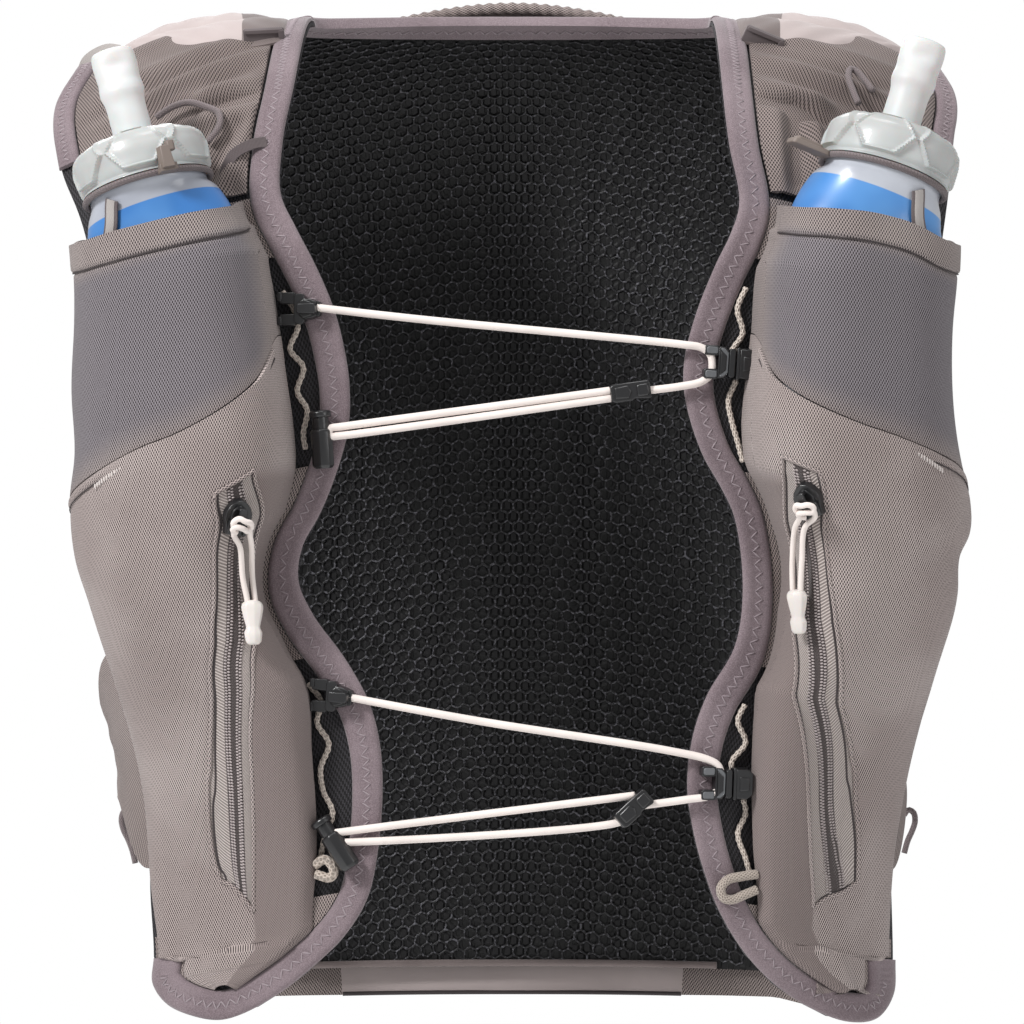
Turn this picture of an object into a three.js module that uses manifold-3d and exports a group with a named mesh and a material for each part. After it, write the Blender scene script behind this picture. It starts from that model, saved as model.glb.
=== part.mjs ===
// A running hydration vest as it is worn: millimetres, +Z up, the front faces -Y.
// The origin lies between the two shoulders, at the height where the straps rest on them.

import * as THREE from 'three';
import Module from 'manifold-3d';
import { mergeVertices } from 'three/addons/utils/BufferGeometryUtils.js';

// Body that the vest is cut for
const CHEST_HALF_WIDTH = 200;    // widest half width of the form at the shoulders
const WAIST_HALF_WIDTH = 160;    // half width of the form below the arms
const BODY_HALF_DEPTH = 100;     // from the middle of the body to the chest or back
const BODY_SQUARENESS = 2.4;     // 2 is an ellipse, more is squarer
const SHOULDER_ROUND = 105;      // height over which the chest rounds back to the shoulder
const SHOULDER_SLOPE = 0.2135;   // fall of the shoulder line per mm outwards
const SHOULDER_CENTRE = 130;     // middle of each strap, where the shoulder line is at zero
const NECK_ROUND = 30;           // rounds the shoulder line where it crosses the neck

// Vest overall
const HALF_WIDTH = 175;          // half width of the front, from which edges are shared
const FRONT_DROP = 395;          // shoulder line to the front hem
const BACK_DROP = 395;           // shoulder line to the lower edge of the back mesh, at its sides
const BACK_LOW_X = 85;           // inside this, the lower edge of the back runs level

// Walls and clearances
const LINING_WALL = 1.5;
const BACK_WALL = 3;
const KNIT_WALL = 1.2;
const WOVEN_WALL = 1;
const BINDING_WIDTH = 11.6;
const BINDING_WALL = 2.2;
const ARMHOLE_BINDING_WIDTH = 8.6;
const SEAM_GAP = 0.5;            // between two layers of cloth that lie on each other
const FIT_GAP = 0.35;            // between a hard piece and what it rests on

// Pockets
const POCKET_DEPTH = 52;         // how far the flask pocket stands off the chest
const POCKET_SEAM_SHARE = 0.965; // outer seam of the pockets, against their silhouette
const HEM_THICKENING = 0.9;      // the folded mouth of the flask pocket is doubled
const HEM_HEIGHT = 11;
const ZIP_WIDTH = 15;
const ZIP_WALL = 1.4;
const TAPE_LIFT = KNIT_WALL + 2.2 * SEAM_GAP;

// Flasks
const FLASK_WIDTH = 65;
const FLASK_THICKNESS = 42;
const CAP_DIAMETER = 53;
const CAP_HEIGHT = 19;
const CAP_WALL = 3;
const VALVE_DIAMETER = 21;
const VALVE_LENGTH = 36;
const ELASTIC_DIAMETER = 2.6;

// Closure
const CLOSURE_CORD_DIAMETER = 3;
const RAIL_CORD_DIAMETER = 2.2;
const LOOP_CORD_DIAMETER = 3.8;
const SIDE_CORD_DIAMETER = 2.4;
const PULL_CORD_DIAMETER = 2.2;

// Back pouch
const POUCH_HALF_WIDTH = 132;
const POUCH_CENTRE_HALF_WIDTH = 73;
const POUCH_DEPTH = 26;
const POUCH_BELOW_MESH = 12;
const RIM_HALF_LENGTH = 48;
const RIM_DIAMETER = 5.5;
const RIM_GATHERS = 14;

// Finishes
const KNIT_TAUPE = { color: 0x8f8482, roughness: 0.9, metalness: 0 };
const BINDING_MAUVE = { color: 0x93838a, roughness: 0.85, metalness: 0 };
const MESH_BLACK = { color: 0x151416, roughness: 0.8, metalness: 0 };
const WOVEN_PALE = { color: 0xcbbdbb, roughness: 0.7, metalness: 0 };
const CORD_PALE = { color: 0xeae0da, roughness: 0.8, metalness: 0 };
const CORD_TAUPE = { color: 0x8c817d, roughness: 0.85, metalness: 0 };
const PLASTIC_BLACK = { color: 0x2a2b2d, roughness: 0.4, metalness: 0 };
const PLASTIC_CLEAR = { color: 0xd5d8d8, roughness: 0.35, metalness: 0 };
const SILICONE = { color: 0xe3e4e4, roughness: 0.5, metalness: 0 };
const FILM_BLUE = { color: 0xa8afba, roughness: 0.3, metalness: 0 };

const wasm = await Module();
wasm.setup();
const vest = new THREE.Group();

// Solids

function addNode(name, geometry, finish, parent = vest) {
  const mesh = new THREE.Mesh(geometry, new THREE.MeshStandardMaterial(finish));
  mesh.name = name;
  parent.add(mesh);
  return mesh;
}

function signedVolume(points, triangles) {
  let volume = 0;
  for (const [a, b, c] of triangles) {
    volume += points[a].dot(points[b].clone().cross(points[c])) / 6;
  }
  return volume;
}

function closedGeometry(points, triangles) {
  const facing = signedVolume(points, triangles) < 0
    ? triangles.map(([a, b, c]) => [a, c, b])
    : triangles;
  const geometry = new THREE.BufferGeometry();
  geometry.setAttribute('position',
    new THREE.Float32BufferAttribute(points.flatMap((p) => [p.x, p.y, p.z]), 3));
  geometry.setIndex(facing.flat());
  geometry.computeVertexNormals();
  return geometry;
}

// A closed wall between two grids of points, row by row
function wall(outer, inner) {
  const rows = outer.length;
  const columns = outer[0].length;
  const points = [...outer.flat(), ...inner.flat()];
  const front = (r, c) => r * columns + c;
  const back = (r, c) => rows * columns + r * columns + c;
  const triangles = [];
  const quad = (a, b, c, d) => triangles.push([a, b, c], [a, c, d]);
  for (let r = 0; r < rows - 1; r += 1) {
    for (let c = 0; c < columns - 1; c += 1) {
      quad(front(r, c), front(r, c + 1), front(r + 1, c + 1), front(r + 1, c));
      quad(back(r, c), back(r + 1, c), back(r + 1, c + 1), back(r, c + 1));
    }
    quad(front(r, 0), front(r + 1, 0), back(r + 1, 0), back(r, 0));
    const last = columns - 1;
    quad(front(r, last), back(r, last), back(r + 1, last), front(r + 1, last));
  }
  for (let c = 0; c < columns - 1; c += 1) {
    quad(front(0, c), back(0, c), back(0, c + 1), front(0, c + 1));
    const last = rows - 1;
    quad(front(last, c), front(last, c + 1), back(last, c + 1), back(last, c));
  }
  return closedGeometry(points, triangles);
}

// A wall whose two faces are surface(u, v, lift) at two lifts
function sheet(surface, { columns, rows, inner, outer }) {
  const grid = (lift) => {
    const lines = [];
    for (let r = 0; r <= rows; r += 1) {
      const line = [];
      for (let c = 0; c <= columns; c += 1) {
        const u = c / columns;
        const v = r / rows;
        line.push(surface(u, v, typeof lift === 'function' ? lift(u, v) : lift));
      }
      lines.push(line);
    }
    return lines;
  };
  return wall(grid(outer), grid(inner));
}

// A solid through closed rings of points, capped at both ends
function loft(rings) {
  const sides = rings[0].length;
  const points = rings.flat();
  const triangles = [];
  for (let r = 0; r < rings.length - 1; r += 1) {
    for (let k = 0; k < sides; k += 1) {
      const a = r * sides + k;
      const b = r * sides + ((k + 1) % sides);
      triangles.push([a, b, b + sides], [a, b + sides, a + sides]);
    }
  }
  const end = (rings.length - 1) * sides;
  for (let k = 1; k < sides - 1; k += 1) {
    triangles.push([0, k + 1, k], [end, end + k, end + k + 1]);
  }
  return closedGeometry(points, triangles);
}

function cordAlong(points, diameter, steps, sides = 8) {
  const section = [];
  for (let k = 0; k < sides; k += 1) {
    const angle = (2 * Math.PI * k) / sides;
    section.push(new THREE.Vector2(Math.cos(angle), Math.sin(angle)).multiplyScalar(diameter / 2));
  }
  return new THREE.ExtrudeGeometry(new THREE.Shape(section), {
    steps,
    bevelEnabled: false,
    extrudePath: new THREE.CatmullRomCurve3(points, false, 'centripetal'),
  });
}

function asManifold(geometry) {
  const bare = geometry.clone();
  bare.deleteAttribute('normal');
  if (bare.attributes.uv) {
    bare.deleteAttribute('uv');
  }
  const merged = mergeVertices(bare, 1e-4);
  return new wasm.Manifold(new wasm.Mesh({
    numProp: 3,
    vertProperties: new Float32Array(merged.attributes.position.array),
    triVerts: new Uint32Array(merged.index.array),
  }));
}

function asGeometry(solid) {
  const mesh = solid.getMesh();
  const geometry = new THREE.BufferGeometry();
  geometry.setAttribute('position', new THREE.BufferAttribute(mesh.vertProperties, 3));
  geometry.setIndex(new THREE.BufferAttribute(mesh.triVerts, 1));
  geometry.computeVertexNormals();
  return geometry;
}

function joined(...geometries) {
  return asGeometry(geometries.map(asManifold).reduce((a, b) => a.add(b)));
}

function cut(base, ...tools) {
  return asGeometry(tools.map(asManifold).reduce((a, b) => a.subtract(b), asManifold(base)));
}

// Reading a table: rows sorted by their first column, straight between rows

function readTable(table, key, column, at) {
  if (at <= table[0][key]) {
    return table[0][column];
  }
  for (let i = 1; i < table.length; i += 1) {
    if (at <= table[i][key]) {
      const part = (at - table[i - 1][key]) / (table[i][key] - table[i - 1][key]);
      return THREE.MathUtils.lerp(table[i - 1][column], table[i][column], part);
    }
  }
  return table[table.length - 1][column];
}

// The body form: x across, run along the strap from the shoulder line (front negative)

const ARCH_RUN = (SHOULDER_ROUND * Math.PI) / 2;

function dropOf(run) {
  const length = Math.abs(run);
  return length < ARCH_RUN
    ? SHOULDER_ROUND * (1 - Math.cos(length / SHOULDER_ROUND))
    : SHOULDER_ROUND + length - ARCH_RUN;
}

function runOf(drop) {
  return drop < SHOULDER_ROUND
    ? SHOULDER_ROUND * Math.acos(1 - Math.max(0, drop) / SHOULDER_ROUND)
    : ARCH_RUN + drop - SHOULDER_ROUND;
}

function shoulderLine(x) {
  return -SHOULDER_SLOPE * (Math.hypot(x, NECK_ROUND) - Math.hypot(SHOULDER_CENTRE, NECK_ROUND));
}

function bodyHalf(drop) {
  const taper = THREE.MathUtils.smoothstep(drop / FRONT_DROP, 0.4, 0.75);
  return THREE.MathUtils.lerp(CHEST_HALF_WIDTH, WAIST_HALF_WIDTH, taper);
}

function bodyPoint(x, run) {
  const drop = dropOf(run);
  const across = Math.min(Math.abs(x) / bodyHalf(drop), 0.995) ** BODY_SQUARENESS;
  const depth = BODY_HALF_DEPTH * (1 - across) ** (1 / BODY_SQUARENESS);
  const round = Math.sin(Math.min(1, Math.abs(run) / ARCH_RUN) * (Math.PI / 2));
  return new THREE.Vector3(x, Math.sign(run) * depth * round, shoulderLine(x) - drop);
}

// The point that lies lift mm off a surface, away from the middle of the body
function lifted(surface, u, v, lift) {
  const step = 0.01;
  const along = surface(u + step, v).sub(surface(u - step, v));
  const down = surface(u, v + step).sub(surface(u, v - step));
  const normal = along.cross(down).normalize();
  const point = surface(u, v);
  const outward = new THREE.Vector3(point.x * 0.4, point.y, Math.max(0, point.z + SHOULDER_ROUND));
  if (normal.dot(outward) < 0) {
    normal.negate();
  }
  return point.addScaledVector(normal, lift);
}

function onBody(x, run, lift) {
  return lifted((a, b) => bodyPoint(a, b), x, run, lift);
}

// Front edges as shares: drop of FRONT_DROP, x of HALF_WIDTH

const CENTRE_EDGE = {
  left: [
    { drop: 0, x: 0.461 }, { drop: 0.073, x: 0.487 }, { drop: 0.136, x: 0.51 },
    { drop: 0.187, x: 0.512 }, { drop: 0.222, x: 0.479 }, { drop: 0.266, x: 0.432 },
    { drop: 0.312, x: 0.392 }, { drop: 0.352, x: 0.37 }, { drop: 0.386, x: 0.359 },
    { drop: 0.43, x: 0.361 }, { drop: 0.475, x: 0.39 }, { drop: 0.51, x: 0.425 },
    { drop: 0.537, x: 0.462 }, { drop: 0.569, x: 0.472 }, { drop: 0.605, x: 0.441 },
    { drop: 0.656, x: 0.368 }, { drop: 0.702, x: 0.316 }, { drop: 0.743, x: 0.292 },
    { drop: 0.789, x: 0.285 }, { drop: 0.846, x: 0.294 }, { drop: 0.895, x: 0.318 },
    { drop: 0.928, x: 0.368 }, { drop: 0.954, x: 0.441 }, { drop: 0.973, x: 0.51 },
    { drop: 0.988, x: 0.594 }, { drop: 0.991, x: 0.646 },
  ],
  right: [
    { drop: 0, x: 0.462 }, { drop: 0.082, x: 0.471 }, { drop: 0.14, x: 0.482 },
    { drop: 0.197, x: 0.503 }, { drop: 0.228, x: 0.484 }, { drop: 0.264, x: 0.448 },
    { drop: 0.319, x: 0.403 }, { drop: 0.367, x: 0.379 }, { drop: 0.402, x: 0.383 },
    { drop: 0.45, x: 0.419 }, { drop: 0.481, x: 0.463 }, { drop: 0.506, x: 0.491 },
    { drop: 0.572, x: 0.51 }, { drop: 0.632, x: 0.493 }, { drop: 0.687, x: 0.43 },
    { drop: 0.729, x: 0.399 }, { drop: 0.779, x: 0.386 }, { drop: 0.822, x: 0.399 },
    { drop: 0.863, x: 0.425 }, { drop: 0.897, x: 0.457 }, { drop: 0.932, x: 0.51 },
    { drop: 0.959, x: 0.577 }, { drop: 0.977, x: 0.655 }, { drop: 0.987, x: 0.751 },
  ],
};

// Hem from the lowest point back up to the outer edge
const HEM_END = {
  left: [
    { drop: 0.984, x: 0.705 }, { drop: 0.968, x: 0.77 }, { drop: 0.946, x: 0.803 },
    { drop: 0.921, x: 0.8 },
  ],
  right: [
    { drop: 0.98, x: 0.82 }, { drop: 0.955, x: 0.858 }, { drop: 0.921, x: 0.862 },
  ],
};

// Silhouette of the front: the armhole above, the pockets below
const OUTER_EDGE = {
  left: [
    { drop: 0, x: 1.01 }, { drop: 0.042, x: 1.045 }, { drop: 0.101, x: 1.027 },
    { drop: 0.156, x: 0.992 }, { drop: 0.228, x: 0.972 }, { drop: 0.341, x: 0.978 },
    { drop: 0.407, x: 0.97 }, { drop: 0.451, x: 0.983 }, { drop: 0.5, x: 0.975 },
    { drop: 0.554, x: 0.938 }, { drop: 0.64, x: 0.887 }, { drop: 0.754, x: 0.833 },
    { drop: 0.845, x: 0.817 }, { drop: 0.921, x: 0.8 },
  ],
  right: [
    { drop: 0, x: 0.99 }, { drop: 0.035, x: 1.017 }, { drop: 0.084, x: 1 },
    { drop: 0.186, x: 0.992 }, { drop: 0.416, x: 1 }, { drop: 0.445, x: 1.02 },
    { drop: 0.477, x: 1.018 }, { drop: 0.5, x: 0.995 }, { drop: 0.541, x: 0.988 },
    { drop: 0.626, x: 0.943 }, { drop: 0.726, x: 0.897 }, { drop: 0.835, x: 0.863 },
    { drop: 0.921, x: 0.858 },
  ],
};

// Inner seam of the pockets, which leaves a strip of lining bare beside the binding
const POCKET_INNER = {
  left: [
    { drop: 0.18, x: 0.575 }, { drop: 0.225, x: 0.54 }, { drop: 0.253, x: 0.535 },
    { drop: 0.287, x: 0.522 }, { drop: 0.33, x: 0.508 }, { drop: 0.38, x: 0.492 },
    { drop: 0.42, x: 0.48 }, { drop: 0.46, x: 0.476 }, { drop: 0.503, x: 0.5 },
    { drop: 0.604, x: 0.52 }, { drop: 0.64, x: 0.49 }, { drop: 0.67, x: 0.455 },
    { drop: 0.74, x: 0.44 }, { drop: 0.854, x: 0.435 }, { drop: 0.9, x: 0.445 },
  ],
  right: [
    { drop: 0.18, x: 0.575 }, { drop: 0.265, x: 0.535 }, { drop: 0.33, x: 0.525 },
    { drop: 0.375, x: 0.512 }, { drop: 0.423, x: 0.505 }, { drop: 0.471, x: 0.525 },
    { drop: 0.501, x: 0.566 }, { drop: 0.626, x: 0.566 }, { drop: 0.66, x: 0.54 },
    { drop: 0.7, x: 0.532 }, { drop: 0.824, x: 0.532 }, { drop: 0.893, x: 0.547 },
  ],
};

// How far the pockets stand off, as shares of POCKET_DEPTH
const POCKET_PROFILE = [
  { drop: 0.19, depth: 1 }, { drop: 0.3, depth: 1.02 }, { drop: 0.45, depth: 1 },
  { drop: 0.55, depth: 0.86 }, { drop: 0.65, depth: 0.66 }, { drop: 0.75, depth: 0.45 },
  { drop: 0.85, depth: 0.22 }, { drop: 0.93, depth: 0.07 }, { drop: 0.96, depth: 0.04 },
];

// Slanting seam between the flask pocket and the zip pocket, from inner to outer edge
const SLANT_SEAM = [
  { across: 0, left: 0.327, right: 0.324 }, { across: 0.22, left: 0.374, right: 0.37 },
  { across: 0.5, left: 0.413, right: 0.4 }, { across: 0.85, left: 0.447, right: 0.423 },
  { across: 1, left: 0.455, right: 0.439 },
];
const POCKET_MOUTH = 0.2;        // drop of the flask pocket's mouth, share of FRONT_DROP
const MOUTH_RISE = 0.014;        // the mouth stands higher in its middle
const ZIP_POCKET_END = 0.925;

// The edge of each front as a path of (x, run), shoulder to hem and up to the outer end
function edgePath(side) {
  const rows = [...CENTRE_EDGE[side.name], ...HEM_END[side.name]];
  return rows.map((row) => new THREE.Vector2(row.x * HALF_WIDTH, runOf(row.drop * FRONT_DROP)));
}

// A path moved sideways by an amount, to the right of its direction as it goes down
function besidePath(path, amount, stations) {
  const curve = new THREE.SplineCurve(path);
  const moved = [];
  for (let i = 0; i <= stations; i += 1) {
    const point = curve.getPointAt(i / stations);
    const direction = curve.getTangentAt(i / stations);
    moved.push(new THREE.Vector2(point.x + direction.y * amount, point.y - direction.x * amount));
  }
  return moved;
}

// Where a moved path crosses a run: the first crossing is on the centre side
function crossings(path, run) {
  const found = [];
  for (let i = 1; i < path.length; i += 1) {
    const a = path[i - 1];
    const b = path[i];
    if ((a.y - run) * (b.y - run) <= 0 && a.y !== b.y) {
      found.push(THREE.MathUtils.lerp(a.x, b.x, (run - a.y) / (b.y - a.y)));
    }
  }
  return found;
}

const sides = [
  { name: 'left', sign: -1 },
  { name: 'right', sign: 1 },
];
for (const side of sides) {
  side.edge = edgePath(side);
  side.bound = besidePath(side.edge, BINDING_WIDTH + SEAM_GAP, 90);
}

function centreEdge(side, run) {
  return readTable(CENTRE_EDGE[side.name], 'drop', 'x', dropOf(run) / FRONT_DROP) * HALF_WIDTH;
}

function boundInner(side, run) {
  const found = crossings(side.bound, run);
  return found.length ? Math.min(...found) : centreEdge(side, run) + BINDING_WIDTH + SEAM_GAP;
}

function outerEdge(side, run) {
  return readTable(OUTER_EDGE[side.name], 'drop', 'x', dropOf(run) / FRONT_DROP) * HALF_WIDTH;
}

function seamOuter(side, run) {
  const share = dropOf(run) / FRONT_DROP;
  const pull = THREE.MathUtils.lerp(POCKET_SEAM_SHARE, 0.975, THREE.MathUtils.smoothstep(share, 0.7, 0.9));
  const found = crossings(side.bound, run);
  const hem = found.length > 1 ? Math.max(...found) - 2 * KNIT_WALL : Infinity;
  return Math.min(outerEdge(side, run) * pull, hem);
}

// Front lining: from the shoulder line to the hem, out to the armhole and the pocket seam

function liningOuter(side, run) {
  const share = dropOf(run) / FRONT_DROP;
  const mix = THREE.MathUtils.smoothstep(share, 0.1, 0.22);
  const pocket = THREE.MathUtils.lerp(
    outerEdge(side, run) * POCKET_SEAM_SHARE,
    outerEdge(side, run),
    THREE.MathUtils.smoothstep(share, 0.7, 0.92),
  );
  return THREE.MathUtils.lerp(outerEdge(side, run), pocket + 1, mix);
}

function liningRow(side, run) {
  const found = crossings(side.edge, run);
  const inner = found.length ? Math.min(...found) : centreEdge(side, run);
  const hem = found.length > 1 ? Math.max(...found) : Infinity;
  return { inner, outer: Math.min(liningOuter(side, run), hem) };
}

function frontLining(side) {
  const end = runOf(0.984 * FRONT_DROP);
  const surface = (u, v, lift) => {
    const run = end * v ** 0.92;
    const row = liningRow(side, run);
    const x = side.sign * THREE.MathUtils.lerp(row.inner, row.outer, u);
    return onBody(x, -run - FIT_GAP * (1 - v), lift);
  };
  return sheet(surface, { columns: 7, rows: 20, inner: 0, outer: LINING_WALL });
}

// Bindings: flat bands that lie on the lining and follow its edge

function band(path, stations, width, sign, base, front = -1, columns = 1) {
  const curve = new THREE.SplineCurve(path);
  const surface = (u, v, lift) => {
    const point = curve.getPointAt(v);
    const direction = curve.getTangentAt(v);
    const x = point.x + direction.y * width * u;
    const run = point.y - direction.x * width * u;
    return onBody(sign * x, front * run, lift);
  };
  return sheet(surface, {
    columns, rows: stations, inner: base, outer: base + BINDING_WALL,
  });
}

function armholePath(side) {
  const inset = ARMHOLE_BINDING_WIDTH;
  const points = [];
  for (let i = 0; i <= 10; i += 1) {
    const run = 3 + i * 9.4;
    points.push(new THREE.Vector2(outerEdge(side, run) - inset, run));
  }
  return points;
}

// Pockets: the shared outer form of the flask pocket and the zip pocket

function pocketSeams(side, run) {
  const share = dropOf(run) / FRONT_DROP;
  const bare = readTable(POCKET_INNER[side.name], 'drop', 'x', share) * HALF_WIDTH;
  const inner = Math.max(bare, boundInner(side, run) + KNIT_WALL);
  return { inner, outer: seamOuter(side, run) };
}

const POCKET_BASE = LINING_WALL + SEAM_GAP;
const POCKET_ROUND = 0.72;       // 1 is a half ellipse, less is squarer
const POCKET_FACING = 0.5;        // 0 square to the chest below it, 1 straight to the front
const POCKET_BELLY = 0.03;       // how far the sides bulge past the seams, share of the width

function pocketForm(side, u, run) {
  const seams = pocketSeams(side, run);
  const a = onBody(side.sign * seams.inner, -run, POCKET_BASE);
  const b = onBody(side.sign * seams.outer, -run, POCKET_BASE);
  const chord = b.clone().sub(a);
  const square = new THREE.Vector3(chord.y, -chord.x, 0).normalize().multiplyScalar(side.sign);
  const out = square.lerp(new THREE.Vector3(0, -1, 0), POCKET_FACING).normalize();
  const depth = POCKET_DEPTH * readTable(POCKET_PROFILE, 'drop', 'depth', dropOf(run) / FRONT_DROP);
  const angle = Math.PI * THREE.MathUtils.clamp(u, 0.001, 0.999);
  const rise = Math.sin(angle) ** POCKET_ROUND;
  const swing = Math.sign(Math.cos(angle)) * Math.abs(Math.cos(angle)) ** POCKET_ROUND;
  const along = 0.5 - (0.5 + POCKET_BELLY * rise) * swing;
  return a.addScaledVector(chord, along).addScaledVector(out, depth * rise);
}

function onPocket(side, u, run, lift) {
  const surface = (a, b) => pocketForm(side, a / 100, b);
  return lifted(surface, u * 100, run, lift);
}

function mouthRun(u) {
  return runOf(FRONT_DROP * (POCKET_MOUTH - MOUTH_RISE * Math.sin(Math.PI * u)));
}

function slantRun(side, u) {
  return runOf(FRONT_DROP * readTable(SLANT_SEAM, 'across', side.name, u));
}

const POCKET_EDGE_SHARE = 0.03;  // the walls stop short of the seam by this share of the arch

function acrossPocket(u) {
  return THREE.MathUtils.lerp(POCKET_EDGE_SHARE, 1 - POCKET_EDGE_SHARE, u);
}

function flaskPocket(side) {
  const surface = (u, v, lift) => {
    const across = acrossPocket(u);
    const run = THREE.MathUtils.lerp(mouthRun(across), slantRun(side, across) - SEAM_GAP, v);
    return onPocket(side, across, run, lift);
  };
  const hem = (u, v) => KNIT_WALL + (v < HEM_HEIGHT / 90 ? HEM_THICKENING : 0);
  return sheet(surface, { columns: 12, rows: 8, inner: 0, outer: hem });
}

function zipPocket(side) {
  const end = runOf(ZIP_POCKET_END * FRONT_DROP);
  const surface = (u, v, lift) => {
    const across = acrossPocket(u);
    const run = THREE.MathUtils.lerp(slantRun(side, across), end, v);
    return onPocket(side, across, run, lift);
  };
  return sheet(surface, { columns: 11, rows: 11, inner: 0, outer: KNIT_WALL });
}

// Strap covers: stretch knit over the upper chest, with soft folds

const COVER_FOLDS = [
  { run: 0.22, height: 2.2, width: 0.05 }, { run: 0.42, height: 3, width: 0.06 },
  { run: 0.62, height: 2, width: 0.05 }, { run: 0.8, height: 0.8, width: 0.05 },
];

function coverFold(u, v) {
  const lean = 0.08 * (0.5 - u);
  const inside = Math.sin(Math.PI * u) ** 0.7;
  return COVER_FOLDS.reduce((total, fold) => {
    const away = (v - fold.run - lean) / fold.width;
    return total + inside * fold.height * Math.exp(-away * away);
  }, 0);
}

function strapCover(side) {
  const start = 2;
  const end = runOf((POCKET_MOUTH - 0.02) * FRONT_DROP);
  const surface = (u, v, lift) => {
    const run = THREE.MathUtils.lerp(start, end, v);
    const inner = boundInner(side, run) + SEAM_GAP;
    const outer = outerEdge(side, run) - ARMHOLE_BINDING_WIDTH - 2 * SEAM_GAP;
    return onBody(side.sign * THREE.MathUtils.lerp(inner, outer, u), -run, lift);
  };
  return sheet(surface, {
    columns: 7,
    rows: 16,
    inner: (u, v) => POCKET_BASE + coverFold(u, v),
    outer: (u, v) => POCKET_BASE + KNIT_WALL + coverFold(u, v),
  });
}

// Neck: the binding goes round the back of the neck from strap to strap

const NECK_EDGE = [
  { x: 0.462, run: 0 }, { x: 0.457, run: 0.15 }, { x: 0.43, run: 0.31 }, { x: 0.377, run: 0.47 },
  { x: 0.286, run: 0.67 }, { x: 0.171, run: 0.86 }, { x: 0.086, run: 0.96 }, { x: 0, run: 1 },
];
const NECK_DIP = 40;             // how far the back of the neck lies behind the shoulder line

function neckPath() {
  const half = NECK_EDGE.map((row) => new THREE.Vector2(row.x * HALF_WIDTH, row.run * NECK_DIP));
  const other = half.slice(0, -1).reverse().map((point) => new THREE.Vector2(-point.x, point.y));
  return [...half, ...other];
}

function neckBinding() {
  const path = neckPath();
  path[0].y += SEAM_GAP;
  path[path.length - 1].y += SEAM_GAP;
  const curve = new THREE.SplineCurve(path);
  const surface = (u, v, lift) => {
    const point = curve.getPointAt(v);
    const direction = curve.getTangentAt(v);
    const x = point.x + direction.y * BINDING_WIDTH * u;
    return onBody(x, point.y - direction.x * BINDING_WIDTH * u, lift);
  };
  return sheet(surface, { columns: 1, rows: 26, inner: 0, outer: BACK_WALL + BINDING_WALL });
}

// Back mesh: from the neck and the shoulder line to the lower edge

const BACK_HALF = [
  { drop: 0, x: 0.985 }, { drop: 0.08, x: 0.95 }, { drop: 0.2, x: 0.8 }, { drop: 0.3, x: 0.74 },
  { drop: 0.45, x: 0.74 }, { drop: 0.6, x: 0.8 }, { drop: 0.7, x: 0.84 }, { drop: 0.8, x: 0.84 },
  { drop: 0.9, x: 0.8 }, { drop: 1, x: 0.74 },
];
const BACK_COLUMNS = 20;

function backHalf(run) {
  return readTable(BACK_HALF, 'drop', 'x', dropOf(run) / BACK_DROP) * HALF_WIDTH;
}

// Run down to the level lower edge of the back, or an amount below it
function backBottom(x, below) {
  const level = shoulderLine(BACK_LOW_X) - BACK_DROP;
  const line = Math.min(shoulderLine(x) - BACK_DROP + 6, level);
  return runOf(shoulderLine(x) - (Math.abs(x) > BACK_LOW_X ? line : level) + below);
}

function backTopLine() {
  const neck = besidePath(neckPath(), BINDING_WIDTH + 3 * SEAM_GAP, 40)
    .filter((point) => point.y > SEAM_GAP);
  const reach = backHalf(0);
  return [new THREE.Vector2(reach, SEAM_GAP), ...neck, new THREE.Vector2(-reach, SEAM_GAP)];
}

function pointAlong(line, share) {
  const lengths = line.map((point, i) => (i ? point.distanceTo(line[i - 1]) : 0));
  let left = share * lengths.reduce((a, b) => a + b);
  for (let i = 1; i < line.length; i += 1) {
    if (left <= lengths[i] || i === line.length - 1) {
      return line[i - 1].clone().lerp(line[i], Math.min(1, left / lengths[i]));
    }
    left -= lengths[i];
  }
  return line[line.length - 1].clone();
}

function backMesh() {
  const top = backTopLine();
  const surface = (u, v, lift) => {
    const start = pointAlong(top, u);
    const bottom = backBottom((1 - 2 * u) * backHalf(runOf(BACK_DROP)), 0);
    const run = THREE.MathUtils.lerp(start.y, bottom, v);
    const startShare = start.x / backHalf(start.y);
    const share = THREE.MathUtils.lerp(startShare, 1 - 2 * u, THREE.MathUtils.smoothstep(v, 0, 0.5));
    return onBody(share * backHalf(run), run, lift);
  };
  return sheet(surface, { columns: BACK_COLUMNS, rows: 11, inner: 0, outer: BACK_WALL });
}

// Shoulder yokes: loose woven fabric that stands up behind each strap

const YOKE_INNER = 0.535;
const YOKE_OUTER = 0.93;
const YOKE_END = 70;             // how far it reaches down behind the shoulder line
const YOKE_RISE = 20;

function shoulderYoke(side) {
  const surface = (u, v, lift) => {
    const run = THREE.MathUtils.lerp(2 * SEAM_GAP, YOKE_END, v);
    const outer = Math.min(YOKE_OUTER * HALF_WIDTH, backHalf(run) - SEAM_GAP);
    const x = THREE.MathUtils.lerp(YOKE_INNER * HALF_WIDTH, outer, u);
    const rise = YOKE_RISE * Math.sin(Math.PI * v) ** 0.8 * Math.sin(Math.PI * u) ** 0.4;
    return onBody(side.sign * x, run, BACK_WALL + SEAM_GAP + rise + lift);
  };
  return sheet(surface, { columns: 10, rows: 8, inner: 0, outer: WOVEN_WALL });
}

// Back pouch: pale centre and knit sides, open at its mouth behind the neck

const POUCH_TOP = 55;            // run from the shoulder line to the mouth
const POUCH_PROFILE = [
  { down: 0, depth: 0.5 }, { down: 0.12, depth: 0.85 }, { down: 0.35, depth: 1 },
  { down: 0.7, depth: 0.95 }, { down: 0.88, depth: 0.6 }, { down: 0.97, depth: 0.2 },
  { down: 1, depth: 0 },
];

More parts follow.
